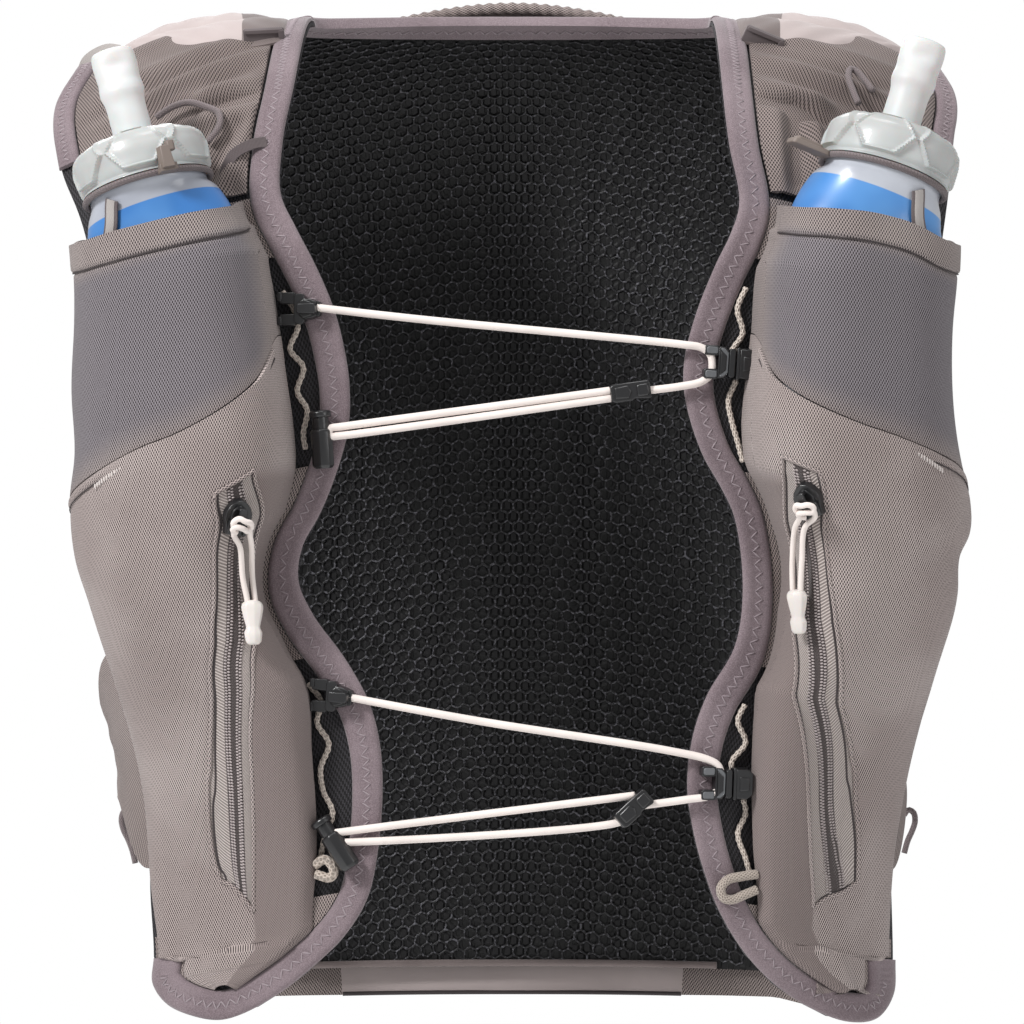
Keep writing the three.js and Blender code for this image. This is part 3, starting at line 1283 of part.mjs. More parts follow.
for (const side of sides) {
  const pull = `zip_pull_${side.name}`;
  addNode(`zip_slider_${side.name}`, zipSlider(side), PLASTIC_BLACK);
  addNode(pull, cordAlong(route(pull), PULL_CORD_DIAMETER, PULL_STEPS), CORD_PALE);
  addNode(`zip_pull_end_${side.name}`, pullEnd(side), CORD_PALE);
}

export default vest;
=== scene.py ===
# A running hydration vest as it is worn, dressed over its CAD solids.
# Points are worked out in millimetres, +Z up, the front facing -Y, and turned into metres
# when a mesh is made.

import math

import bpy
import numpy as np
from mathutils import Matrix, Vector


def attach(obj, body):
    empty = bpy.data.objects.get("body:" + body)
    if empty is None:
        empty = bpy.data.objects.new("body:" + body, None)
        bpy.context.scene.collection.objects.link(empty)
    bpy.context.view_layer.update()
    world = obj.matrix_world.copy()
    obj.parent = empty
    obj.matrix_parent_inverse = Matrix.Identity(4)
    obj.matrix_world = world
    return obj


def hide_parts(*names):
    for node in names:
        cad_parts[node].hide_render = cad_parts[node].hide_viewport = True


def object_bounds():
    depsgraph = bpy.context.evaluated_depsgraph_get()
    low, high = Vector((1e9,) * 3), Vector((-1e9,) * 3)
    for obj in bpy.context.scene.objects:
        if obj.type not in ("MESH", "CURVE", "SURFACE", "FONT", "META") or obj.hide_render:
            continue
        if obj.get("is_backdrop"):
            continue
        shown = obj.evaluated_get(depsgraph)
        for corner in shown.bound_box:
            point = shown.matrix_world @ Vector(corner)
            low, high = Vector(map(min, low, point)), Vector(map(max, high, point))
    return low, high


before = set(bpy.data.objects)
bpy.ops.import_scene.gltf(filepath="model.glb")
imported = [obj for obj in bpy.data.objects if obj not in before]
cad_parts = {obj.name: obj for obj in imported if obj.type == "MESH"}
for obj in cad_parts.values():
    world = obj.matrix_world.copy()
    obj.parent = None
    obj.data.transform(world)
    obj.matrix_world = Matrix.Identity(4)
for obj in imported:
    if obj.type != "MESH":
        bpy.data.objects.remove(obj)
CAD_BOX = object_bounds()

MM = 0.001
SIDES = {"left": -1, "right": 1}

# Body that the vest is cut for
CHEST_HALF_WIDTH = 200
WAIST_HALF_WIDTH = 160
BODY_HALF_DEPTH = 100
BODY_SQUARENESS = 2.4
SHOULDER_ROUND = 105
SHOULDER_SLOPE = 0.2135
SHOULDER_CENTRE = 130
NECK_ROUND = 30
ARCH_RUN = SHOULDER_ROUND * math.pi / 2

# Vest overall
HALF_WIDTH = 175
FRONT_DROP = 395
BACK_DROP = 395
BACK_LOW_X = 85

# Walls and clearances
LINING_WALL = 1.5
BACK_WALL = 3
KNIT_WALL = 1.2
WOVEN_WALL = 1
BINDING_WIDTH = 11.6
BINDING_WALL = 2.2
ARMHOLE_BINDING_WIDTH = 8.6
SEAM_GAP = 0.5
FIT_GAP = 0.35
POCKET_BASE = LINING_WALL + SEAM_GAP
HARDWARE_LIFT = LINING_WALL + SEAM_GAP + BINDING_WALL + FIT_GAP

# Edges of the fronts as rows of (drop, x): shares of FRONT_DROP and of HALF_WIDTH
CENTRE_EDGE = {
    "left": [
        (0, 0.461), (0.073, 0.487), (0.136, 0.51), (0.187, 0.512), (0.222, 0.479),
        (0.266, 0.432), (0.312, 0.392), (0.352, 0.37), (0.386, 0.359), (0.43, 0.361),
        (0.475, 0.39), (0.51, 0.425), (0.537, 0.462), (0.569, 0.472), (0.605, 0.441),
        (0.656, 0.368), (0.702, 0.316), (0.743, 0.292), (0.789, 0.285), (0.846, 0.294),
        (0.895, 0.318), (0.928, 0.368), (0.954, 0.441), (0.973, 0.51), (0.988, 0.594),
        (0.991, 0.646),
    ],
    "right": [
        (0, 0.462), (0.082, 0.471), (0.14, 0.482), (0.197, 0.503), (0.228, 0.484),
        (0.264, 0.448), (0.319, 0.403), (0.367, 0.379), (0.402, 0.383), (0.45, 0.419),
        (0.481, 0.463), (0.506, 0.491), (0.572, 0.51), (0.632, 0.493), (0.687, 0.43),
        (0.729, 0.399), (0.779, 0.386), (0.822, 0.399), (0.863, 0.425), (0.897, 0.457),
        (0.932, 0.51), (0.959, 0.577), (0.977, 0.655), (0.987, 0.751),
    ],
}
HEM_END = {
    "left": [
        (0.984, 0.705), (0.968, 0.77), (0.946, 0.803), (0.921, 0.8),
    ],
    "right": [
        (0.98, 0.82), (0.955, 0.858), (0.921, 0.862),
    ],
}
OUTER_EDGE = {
    "left": [
        (0, 1.01), (0.042, 1.045), (0.101, 1.027), (0.156, 0.992), (0.228, 0.972),
        (0.341, 0.978), (0.407, 0.97), (0.451, 0.983), (0.5, 0.975), (0.554, 0.938),
        (0.64, 0.887), (0.754, 0.833), (0.845, 0.817), (0.921, 0.8),
    ],
    "right": [
        (0, 0.99), (0.035, 1.017), (0.084, 1), (0.186, 0.992), (0.416, 1), (0.445, 1.02),
        (0.477, 1.018), (0.5, 0.995), (0.541, 0.988), (0.626, 0.943), (0.726, 0.897),
        (0.835, 0.863), (0.921, 0.858),
    ],
}
POCKET_INNER = {
    "left": [
        (0.18, 0.575), (0.225, 0.54), (0.253, 0.535), (0.287, 0.522), (0.33, 0.508),
        (0.38, 0.492), (0.42, 0.48), (0.46, 0.476), (0.503, 0.5), (0.604, 0.52), (0.64, 0.49),
        (0.67, 0.455), (0.74, 0.44), (0.854, 0.435), (0.9, 0.445),
    ],
    "right": [
        (0.18, 0.575), (0.265, 0.535), (0.33, 0.525), (0.375, 0.512), (0.423, 0.505),
        (0.471, 0.525), (0.501, 0.566), (0.626, 0.566), (0.66, 0.54), (0.7, 0.532),
        (0.824, 0.532), (0.893, 0.547),
    ],
}

# Pockets
POCKET_DEPTH = 52
POCKET_PROFILE = [
    (0.19, 1), (0.3, 1.02), (0.45, 1), (0.55, 0.86), (0.65, 0.66), (0.75, 0.45), (0.85, 0.22),
    (0.93, 0.07), (0.96, 0.04),
]
SLANT_SEAM = {
    "left": [(0, 0.327), (0.22, 0.374), (0.5, 0.413), (0.85, 0.447), (1, 0.455)],
    "right": [(0, 0.324), (0.22, 0.37), (0.5, 0.4), (0.85, 0.423), (1, 0.439)],
}
POCKET_SEAM_SHARE = 0.965
POCKET_ROUND = 0.72
POCKET_FACING = 0.5
POCKET_BELLY = 0.03
POCKET_MOUTH = 0.2
MOUTH = {
    "left": [(0, 0.188), (0.1, 0.196), (0.2, 0.2), (0.35, 0.202), (0.5, 0.203), (0.65, 0.204),
             (0.8, 0.201), (0.9, 0.197), (1, 0.188)],
    "right": [(0, 0.193), (0.1, 0.197), (0.2, 0.199), (0.35, 0.197), (0.5, 0.194),
              (0.65, 0.202), (0.8, 0.2), (0.9, 0.196), (1, 0.187)],
}
HEM_HEIGHT = 11

# How finely shapes are worked out
SLOPE_STEP = 0.05
HIDDEN_STEP = 3
CORD_SIDES = 12

# Shapes along lines and over the body


def smoothstep(value, low, high):
    t = np.clip((value - low) / (high - low), 0, 1)
    return t * t * (3 - 2 * t)


def table(rows):
    """A smooth function through rows of (key, value), level beyond its ends."""
    keys, values = np.array(rows, float).T
    slopes = np.gradient(values, keys)
    slopes[0] = slopes[-1] = 0

    def read(at):
        at = np.clip(at, keys[0], keys[-1])
        i = np.clip(np.searchsorted(keys, at) - 1, 0, len(keys) - 2)
        width = keys[i + 1] - keys[i]
        t = (at - keys[i]) / width
        start, end = values[i], values[i + 1]
        leave, arrive = slopes[i] * width, slopes[i + 1] * width
        return ((2 * t - 3) * t * t + 1) * start + (3 - 2 * t) * t * t * end \
            + ((t - 2) * t + 1) * t * leave + (t - 1) * t * t * arrive

    return read


def follow(points, count):
    """Evenly spaced points on the smooth curve through some points, their directions
    and the curve's length."""
    points = np.array(points, float)
    ends = np.vstack([2 * points[0] - points[1], points, 2 * points[-1] - points[-2]])
    t = np.linspace(0, 1, 24, endpoint=False)[:, None]
    fine = []
    for before, start, end, after in zip(ends, ends[1:], ends[2:], ends[3:]):
        d0, d1, d2 = (max(np.linalg.norm(b - a) ** 0.5, 1e-4)
                      for a, b in ((before, start), (start, end), (end, after)))
        leave = d1 * ((start - before) / d0 - (end - before) / (d0 + d1) + (end - start) / d1)
        arrive = d1 * ((end - start) / d1 - (after - start) / (d1 + d2) + (after - end) / d2)
        fine.append(((2 * t - 3) * t * t + 1) * start + (3 - 2 * t) * t * t * end
                    + ((t - 2) * t + 1) * t * leave + (t - 1) * t * t * arrive)
    fine = np.vstack([*fine, points[-1:]])
    reach = np.r_[0, np.cumsum(np.linalg.norm(np.diff(fine, axis=0), axis=1))]
    at = np.linspace(0, reach[-1], count)
    even = np.stack([np.interp(at, reach, column) for column in fine.T], axis=1)
    way = np.gradient(even, axis=0)
    return even, way / np.linalg.norm(way, axis=1)[:, None], reach[-1]


def drop_of(run):
    length = np.abs(run)
    arch = SHOULDER_ROUND * (1 - np.cos(np.minimum(length, ARCH_RUN) / SHOULDER_ROUND))
    return np.where(length < ARCH_RUN, arch, SHOULDER_ROUND + length - ARCH_RUN)


def run_of(drop):
    drop = np.maximum(drop, 0)
    arch = SHOULDER_ROUND * np.arccos(1 - np.minimum(drop, SHOULDER_ROUND) / SHOULDER_ROUND)
    return np.where(drop < SHOULDER_ROUND, arch, ARCH_RUN + drop - SHOULDER_ROUND)


def shoulder_line(x):
    return -SHOULDER_SLOPE * (np.hypot(x, NECK_ROUND) - math.hypot(SHOULDER_CENTRE, NECK_ROUND))


def front_run(share):
    """Run at a share of the front's drop."""
    return run_of(share * FRONT_DROP)


def front_share(run):
    return drop_of(run) / FRONT_DROP


def hump(u):
    """A half wave over a share of 0 to 1, a little above zero at its ends."""
    return np.sin(math.pi * np.clip(u, 0.001, 0.999))


def body_half(drop):
    taper = smoothstep(drop / FRONT_DROP, 0.4, 0.75)
    return CHEST_HALF_WIDTH + (WAIST_HALF_WIDTH - CHEST_HALF_WIDTH) * taper


def body(x, run):
    """A point of the body: x across, run along the strap from the shoulder, front negative."""
    drop = drop_of(run)
    across = np.minimum(np.abs(x) / body_half(drop), 0.995) ** BODY_SQUARENESS
    depth = BODY_HALF_DEPTH * (1 - across) ** (1 / BODY_SQUARENESS)
    arch = np.sin(np.minimum(1, np.abs(run) / ARCH_RUN) * math.pi / 2)
    return np.stack([x + 0 * drop, np.sign(run) * depth * arch, shoulder_line(x) - drop], axis=-1)


def lifted(surface, u, v, lift):
    """Points that lie lift off a surface, away from the middle of the body."""
    u, v, lift = np.broadcast_arrays(*(np.asarray(a, float) for a in (u, v, lift)))
    along = surface(u + SLOPE_STEP, v) - surface(u - SLOPE_STEP, v)
    down = surface(u, v + SLOPE_STEP) - surface(u, v - SLOPE_STEP)
    normal = np.cross(along, down)
    normal /= np.linalg.norm(normal, axis=-1, keepdims=True) + 1e-12
    point = surface(u, v)
    outward = np.stack([point[..., 0] * 0.4, point[..., 1],
                        np.maximum(0, point[..., 2] + SHOULDER_ROUND)], axis=-1)
    facing = np.sign((normal * outward).sum(-1, keepdims=True))
    return point + normal * facing * lift[..., None]


def on_body(x, run, lift):
    return lifted(body, x, run, lift)


def crossings(path, runs):
    """Lowest and highest x at which a path crosses each run; not a number where it doesn't."""
    a, b = path[:-1], path[1:]
    level = runs[:, None]
    cross = ((a[:, 1] - level) * (b[:, 1] - level) <= 0) & (a[:, 1] != b[:, 1])
    share = (level - a[:, 1]) / np.where(a[:, 1] == b[:, 1], 1, b[:, 1] - a[:, 1])
    x = a[:, 0] + share * (b[:, 0] - a[:, 0])
    low = np.where(cross, x, np.inf).min(1)
    high = np.where(cross, x, -np.inf).max(1)
    some = cross.any(1)
    return np.where(some, low, np.nan), np.where(some & (high - low > 1), high, np.nan)


RUNS = np.linspace(-4, 470, 950)


def edge_path(side):
    """Points (x, run) of the front edge from the shoulder to the end of the hem."""
    return [(x * HALF_WIDTH, float(front_run(drop)))
            for drop, x in CENTRE_EDGE[side] + HEM_END[side]]


def aside(way):
    """Directions square to a flat path, towards the outer side of its band."""
    return np.stack([way[:, 1], -way[:, 0]], axis=1)


class Front:
    """Lines of one front, read by their run down from the shoulder."""

    def __init__(self, side):
        self.side, self.sign = side, SIDES[side]
        even, way, _ = follow(edge_path(side), 400)
        share = front_share(RUNS)
        centre = table(CENTRE_EDGE[side])(share) * HALF_WIDTH
        outer = table(OUTER_EDGE[side])(share) * HALF_WIDTH
        low, high = crossings(even + aside(way) * (BINDING_WIDTH + SEAM_GAP), RUNS)
        bound = np.where(np.isnan(low), centre + BINDING_WIDTH + SEAM_GAP, low)
        pull = POCKET_SEAM_SHARE + (0.975 - POCKET_SEAM_SHARE) * smoothstep(share, 0.7, 0.9)
        seam = np.minimum(outer * pull, np.where(np.isnan(high), np.inf, high - 2 * KNIT_WALL))
        bare = table(POCKET_INNER[side])(share) * HALF_WIDTH
        low, high = crossings(even, RUNS)
        pocket = outer * (POCKET_SEAM_SHARE
                          + (1 - POCKET_SEAM_SHARE) * smoothstep(share, 0.7, 0.92))
        mix = smoothstep(share, 0.1, 0.22)
        lining = outer * (1 - mix) + (pocket + 1) * mix
        self.lines = {
            "outer": outer,
            "bound": bound,
            "seam_out": seam,
            "seam_in": np.maximum(bare, bound + KNIT_WALL),
            "lining_in": np.where(np.isnan(low), centre, low),
            "lining_out": np.minimum(lining, np.where(np.isnan(high), np.inf, high)),
        }
        self.depth = table(POCKET_PROFILE)
        self.slant = table(SLANT_SEAM[side])
        self.mouth_drop = table(MOUTH[side])

    def line(self, name, run):
        return np.interp(run, RUNS, self.lines[name])

    def pocket(self, u, run):
        """The form that both pockets share: u across its arch in hundredths."""
        inner, outer = self.line("seam_in", run), self.line("seam_out", run)
        a = on_body(self.sign * inner, -run, POCKET_BASE)
        b = on_body(self.sign * outer, -run, POCKET_BASE)
        chord = b - a
        square = np.stack([chord[..., 1], -chord[..., 0], 0 * chord[..., 0]], axis=-1)
        square *= self.sign / np.linalg.norm(square, axis=-1, keepdims=True)
        out = square * (1 - POCKET_FACING) + np.array([0, -1, 0]) * POCKET_FACING
        out /= np.linalg.norm(out, axis=-1, keepdims=True)
        depth = POCKET_DEPTH * self.depth(front_share(run))
        angle = math.pi * np.clip(u / 100, 0.001, 0.999)
        rise = np.sin(angle) ** POCKET_ROUND
        swing = np.sign(np.cos(angle)) * np.abs(np.cos(angle)) ** POCKET_ROUND
        along = 0.5 - (0.5 + POCKET_BELLY * rise) * swing
        return a + chord * along[..., None] + out * (depth * rise)[..., None]

    def on_pocket(self, u, run, lift):
        return lifted(self.pocket, np.asarray(u) * 100, run, lift)

    def mouth(self, u):
        return front_run(self.mouth_drop(u))

    def slanted(self, u):
        return front_run(self.slant(u))


FRONTS = {side: Front(side) for side in SIDES}

# Making meshes


def new_object(name, points, faces, material, uv=None, ride="vest", nodes=(), slot=None,
               sharp=None, groups=None):
    """A closed mesh in metres with its faces outward; uv is one pair of millimetres a point."""
    points = np.asarray(points, float)
    volume = 0
    for size in {len(face) for face in faces}:
        ring = points[np.array([face for face in faces if len(face) == size])]
        for k in range(1, size - 1):
            volume += np.einsum("ij,ij->", ring[:, 0], np.cross(ring[:, k], ring[:, k + 1]))
    if volume < 0:
        faces = [face[::-1] for face in faces]
    mesh = bpy.data.meshes.new(name)
    mesh.from_pydata((points * MM).tolist(), [], faces)
    mesh.materials.append(material)
    if uv is not None:
        layer = mesh.uv_layers.new(name="UVMap")
        loops = np.zeros(len(mesh.loops), np.int32)
        mesh.loops.foreach_get("vertex_index", loops)
        layer.data.foreach_set("uv", np.asarray(uv, np.float32)[loops].ravel())
    for key, values in (groups or {}).items():
        mesh.attributes.new(key, "FLOAT", "POINT").data.foreach_set("value", values)
    mesh.shade_smooth()
    if sharp:
        mesh.set_sharp_from_angle(angle=math.radians(sharp))
    made = bpy.data.objects.new(name, mesh)
    bpy.context.collection.objects.link(made)
    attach(made, ride)
    if nodes:
        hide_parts(*nodes)
    return made


def grid_faces(rows, columns, start=0, round_=False):
    """Quads over a grid of points; with round_ the last column joins the first."""
    r, c = np.meshgrid(np.arange(rows - 1), np.arange(columns - (not round_)), indexing="ij")
    right = (c + 1) % columns
    quads = np.stack([r * columns + c, r * columns + right,
                      (r + 1) * columns + right, (r + 1) * columns + c], axis=-1)
    return (quads.reshape(-1, 4) + start).tolist()


def spans(points):
    """Lengths in mm across each row and down each column of a grid, for its uv."""
    across = np.cumsum(np.linalg.norm(np.diff(points, axis=1, prepend=points[:, :1]), axis=2), 1)
    down = np.cumsum(np.linalg.norm(np.diff(points, axis=0, prepend=points[:1]), axis=2), 0)
    middle = points.shape[1] // 2
    return np.stack([across - across[:, middle:middle + 1], down], axis=-1)


def grain(points, x, down):
    """uv whose threads hang plumb under x and whose rows lie level, from a grid on the form."""
    across = np.cumsum(np.linalg.norm(np.diff(points, axis=1, prepend=points[:, :1]), axis=2), 1)
    way = 1 if points[0, -1, 0] > points[0, 0, 0] else -1
    zero = [np.interp(way * x, way * row_x, row) for row_x, row in zip(points[..., 0], across)]
    return np.stack([across - np.array(zero)[:, None], np.broadcast_to(down, across.shape)],
                    axis=-1)


def lowest(field):
    """The lowest value within a hidden face's spacing of each point of a grid."""
    for axis in (0, 1):
        room = [(0, 0), (0, 0)]
        room[axis] = (HIDDEN_STEP, HIDDEN_STEP)
        field = np.lib.stride_tricks.sliding_window_view(
            np.pad(field, room, mode="edge"), 2 * HIDDEN_STEP + 1, axis).min(-1)
    return field


def wall(name, outer, inner, material, uv=None, groups=None, **rest):
    """A closed wall between two grids of points, its hidden inner face more coarsely made."""
    rows, columns = outer.shape[:2]
    uv = spans(outer) if uv is None else uv
    kept = [np.unique(np.r_[np.arange(0, n, HIDDEN_STEP), n - 1]) for n in (rows, columns)]
    near = [[int(np.abs(few - k).argmin()) for k in range(n)]
            for few, n in zip(kept, (rows, columns))]
    count, wide = rows * columns, len(kept[1])
    faces = grid_faces(rows, columns) + [f[::-1] for f in grid_faces(len(kept[0]), wide, count)]
    edge = [(0, c) for c in range(columns)] + [(r, columns - 1) for r in range(1, rows)] \
        + [(rows - 1, c) for c in range(columns - 2, -1, -1)] \
        + [(r, 0) for r in range(rows - 2, 0, -1)]
    edge = [(r * columns + c, count + near[0][r] * wide + near[1][c]) for r, c in edge]
    faces += [[b, a, under_a] + [under_b] * (under_a != under_b)
              for (a, under_a), (b, under_b) in zip(edge, edge[1:] + edge[:1])]

    def both(grid, under, width):
        return np.concatenate([grid.reshape(-1, width),
                               under[np.ix_(*kept)].reshape(-1, width)])

    groups = {key: both(grid, grid, 1).ravel().astype(np.float32)
              for key, grid in (groups or {}).items()}
    return new_object(name, both(outer, inner, 3), faces, material, uv=both(uv, uv, 2),
                      groups=groups, sharp=50, **rest)


def cut_size(points):
    """(width, length) and area in metres of the cloth that a grid of points makes."""
    uv = spans(points)
    width = (uv[:, -1, 0] - uv[:, 0, 0]).max()
    length = uv[-1, :, 1].max()
    a = points[1:, 1:] - points[:-1, :-1]
    b = points[1:, :-1] - points[:-1, 1:]
    area = np.linalg.norm(np.cross(a, b), axis=2).sum() / 2
    return (width * MM, length * MM), float(min(area, width * length)) * MM * MM


def sheet(name, outer, inner, material, held="stretched", rests_on=(), **rest):
    """A wall of cloth; its flat size and area are worked out but not used."""
    made = wall(name, outer, inner, material, **rest)
    flat, area = cut_size(outer)
    return made


def cloth(name, surface, us, vs, base, thickness, material, relief=None, **rest):
    """A sheet over surface(u, v, lift)."""
    u, v = np.meshgrid(us, vs)
    raised = base + (relief(u, v) if relief else 0)
    outer = surface(u, v, raised + thickness)
    rest.setdefault("uv", spans(surface(u, v, base + thickness)) if relief else None)
    inner = surface(u, v, base + lowest(raised - base) if relief else raised)
    return sheet(name, outer, inner, material, **rest)


def rings_object(name, rings, material, uv=None, closed=False, **rest):
    """A solid through rings of points, capped at both ends or joined into a loop."""
    rings = np.asarray(rings, float)
    rows, sides = rings.shape[:2]
    if uv is None:
        ring = np.append(rings, rings[:, :1], axis=1)
        uv = spans(ring)[:, :-1]
    points = rings.reshape(-1, 3)
    faces = grid_faces(rows, sides, round_=True)
    if closed:
        last = (rows - 1) * sides
        faces += [[last + k, last + (k + 1) % sides, (k + 1) % sides, k] for k in range(sides)]
    else:
        faces += [list(range(sides))[::-1], [(rows - 1) * sides + k for k in range(sides)]]
    return new_object(name, points, faces, material, uv=np.asarray(uv).reshape(-1, 2), **rest)


def ring_frames(way):
    """Two directions square to each direction of a path, turned as little as can be."""
    side = np.cross(way[0], [0, 0, 1] if abs(way[0][2]) < 0.9 else [0, 1, 0])
    sides = []
    for direction in way:
        side = side - direction * np.dot(side, direction)
        side /= np.linalg.norm(side)
        sides.append(side)
    sides = np.array(sides)
    return sides, np.cross(way, sides)


def tube(name, points, diameter, material, step=1.0, wave=None, **rest):
    """A round cord of mesh along points; returns it with its centreline and length."""
    _, _, reach = follow(points, 8)
    even, way, reach = follow(points, max(6, int(reach / step)))
    one, two = ring_frames(way)
    angles = np.linspace(0, 2 * math.pi, CORD_SIDES, endpoint=False)
    at = np.linspace(0, reach, len(even))
    radius = diameter / 2 * (wave(at) if wave else np.ones(len(even)))
    rings = even[:, None] + radius[:, None, None] * (
        np.cos(angles)[None, :, None] * one[:, None]
        + np.sin(angles)[None, :, None] * two[:, None])
    uv = np.stack(np.broadcast_arrays(angles[None] * diameter / 2, at[:, None]), axis=-1)
    made = rings_object(name, rings, material, uv=uv, **rest)
    return made, even, reach


def ribbon(name, points, facing, width, thickness, material, **rest):
    """A flat band along points, its face turned one way."""
    _, _, reach = follow(points, 8)
    even, way, reach = follow(points, max(10, int(reach)))
    side = np.cross(way, facing)
    side /= np.linalg.norm(side, axis=1, keepdims=True)
    out = np.cross(way, side)
    section = np.array([(-0.5, -0.3), (-0.46, -0.5), (0.46, -0.5), (0.5, -0.3), (0.5, 0.3),
                        (0.46, 0.5), (-0.46, 0.5), (-0.5, 0.3)]) * [width, thickness]
    rings = even[:, None] + section[None, :, :1] * side[:, None] \
        + section[None, :, 1:] * out[:, None]
    return rings_object(name, rings, material, sharp=50, **rest)


def merged(name, parts, material, seat, bevel, turn=0, **rest):
    """One piece from parts of (points, faces), in a frame, with its edges bevelled."""
    points, faces = [], []
    for part_points, part_faces in parts:
        faces += [[i + len(points) for i in face] for face in part_faces]
        points += [tuple(p) for p in part_points]
    points = np.array(points, float)
    if turn:
        c, s = math.cos(math.radians(turn)), math.sin(math.radians(turn))
        points = points @ np.array([[c, s, 0], [-s, c, 0], [0, 0, 1]])
    origin, axes = seat
    made = new_object(name, origin + points @ axes, faces, material, sharp=35, **rest)
    edge = made.modifiers.new("Edges", "BEVEL")
    edge.width, edge.segments, edge.limit_method = bevel * MM, 2, "ANGLE"
    edge.angle_limit = math.radians(30)
    return made


def prism(outline, low, high, inset=0.0):
    """An outline in x and y drawn up from low to high, its top smaller by inset."""
    outline = np.array(outline, float)
    middle = outline.mean(0)
    reach = np.abs(outline - middle).max()
    top = middle + (outline - middle) * (1 - inset / reach)
    count = len(outline)
    points = [(*p, low) for p in outline] + [(*p, high) for p in top]
    faces = [list(range(count))[::-1], [count + k for k in range(count)]]
    faces += [[k, (k + 1) % count, count + (k + 1) % count, count + k] for k in range(count)]
    return points, faces


def block(x0, x1, y0, y1, z0, z1, corner=0.0, inset=0.0):
    """A block with its upright corners cut off."""
    c = corner
    outline = [(x0 + c, y0), (x1 - c, y0), (x1, y0 + c), (x1, y1 - c), (x1 - c, y1),
               (x0 + c, y1), (x0, y1 - c), (x0, y0 + c)] if c else \
        [(x0, y0), (x1, y0), (x1, y1), (x0, y1)]
    return prism(outline, z0, z1, inset)


def pair(x0, x1, y0, y1, *rest):
    """A block and its mirror image across y."""
    return [block(x0, x1, y0, y1, *rest), block(x0, x1, -y1, -y0, *rest)]


def turned(profile, sides, along="z"):
    """A solid of revolution about z, or laid along y, from rows of (radius, height)."""
    angles = np.linspace(0, 2 * math.pi, sides, endpoint=False)
    points = [(r * math.cos(a), r * math.sin(a), h) for r, h in profile for a in angles]
    faces = grid_faces(len(profile), sides, round_=True)
    faces += [list(range(sides))[::-1], [(len(profile) - 1) * sides + k for k in range(sides)]]
    points = np.array(points)
    if along == "y":
        points = points[:, [0, 2, 1]] * [1, 1, -1]
    return points, faces


def seat_on_body(x, drop, lift):
    """A frame on the body: rows are right, up the vest and outwards."""
    run = -float(run_of(drop))
    origin = on_body(x, run, lift)
    out = on_body(x, run, lift + 1) - origin
    up = on_body(x, run + 1, lift) - origin
    out /= np.linalg.norm(out)
    right = np.cross(up, out)
    right /= np.linalg.norm(right)
    return origin, np.array([right, np.cross(out, right), out])


# Repeats made with geometry nodes


def node(tree, kind, links=None, **settings):
    """One node with its settings, and its inputs set or linked by name."""
    made = tree.nodes.new(kind)
    for key, value in settings.items():
        setattr(made, key, value)
    for key, value in (links or {}).items():
        socket = next(s for s in made.inputs if key in (s.identifier, s.name))
        if isinstance(value, bpy.types.NodeSocket):
            tree.links.new(value, socket)
        else:
            socket.default_value = value
    return made


def calc(tree, operation, *values):
    """The output of one math node."""
    values = dict(zip(("Value", "Value_001"), values))
    return node(tree, "ShaderNodeMath", values, operation=operation).outputs[0]


def tree_with(name, sizes):
    tree = bpy.data.node_groups.new(name, "GeometryNodeTree")
    tree.interface.new_socket("Geometry", in_out="INPUT", socket_type="NodeSocketGeometry")
    for size in sizes:
        tree.interface.new_socket(size, in_out="INPUT", socket_type="NodeSocketFloat")
    tree.interface.new_socket("Material", in_out="INPUT", socket_type="NodeSocketMaterial")
    tree.interface.new_socket("Geometry", in_out="OUTPUT", socket_type="NodeSocketGeometry")
    return tree, node(tree, "NodeGroupInput")


def finish_tree(tree, start, shape):
    whole = node(tree, "GeometryNodeRealizeInstances", {"Geometry": shape})
    soft = node(tree, "GeometryNodeSetShadeSmooth", {"Geometry": whole.outputs[0]})
    painted = node(tree, "GeometryNodeSetMaterial",
                   {"Geometry": soft.outputs[0], "Material": start.outputs["Material"]})
    node(tree, "NodeGroupOutput", {"Geometry": painted.outputs[0]})
    return tree


def thread_tree():
    """A short thread at each point, laid along one vector and facing another."""
    tree, start = tree_with("Stitches", ["Length", "Thickness"])
    grain = node(tree, "GeometryNodeMeshUVSphere", {"Segments": 7, "Rings": 5, "Radius": 0.5})
    size = node(tree, "ShaderNodeCombineXYZ", {"X": start.outputs["Length"],
                                              "Y": start.outputs["Thickness"],
                                              "Z": start.outputs["Thickness"]})
    grain = node(tree, "GeometryNodeTransform", {"Geometry": grain.outputs[0],
                                                "Scale": size.outputs[0]})
    out, way = (node(tree, "GeometryNodeInputNamedAttribute", {"Name": name},
                     data_type="FLOAT_VECTOR") for name in ("out", "way"))
    turn = node(tree, "FunctionNodeAxesToRotation",
                {"Primary Axis": out.outputs[0], "Secondary Axis": way.outputs[0]},
                primary_axis="Z", secondary_axis="X")
    laid = node(tree, "GeometryNodeInstanceOnPoints", {
        "Points": start.outputs["Geometry"], "Instance": grain.outputs[0],
        "Rotation": turn.outputs[0]})
    return finish_tree(tree, start, laid.outputs[0])


def strand_tree():
    """A strand along each edge of a net."""
    tree, start = tree_with("Net", ["Thickness"])
    lines = node(tree, "GeometryNodeMeshToCurve", {"Mesh": start.outputs["Geometry"]})
    section = node(tree, "GeometryNodeCurvePrimitiveCircle", {
        "Resolution": 5, "Radius": calc(tree, "MULTIPLY", start.outputs["Thickness"], 0.5)})
    strands = node(tree, "GeometryNodeCurveToMesh", {"Curve": lines.outputs[0],
                                                    "Profile Curve": section.outputs[0]})
    return finish_tree(tree, start, strands.outputs[0])


THREADS = thread_tree()
STRANDS = strand_tree()


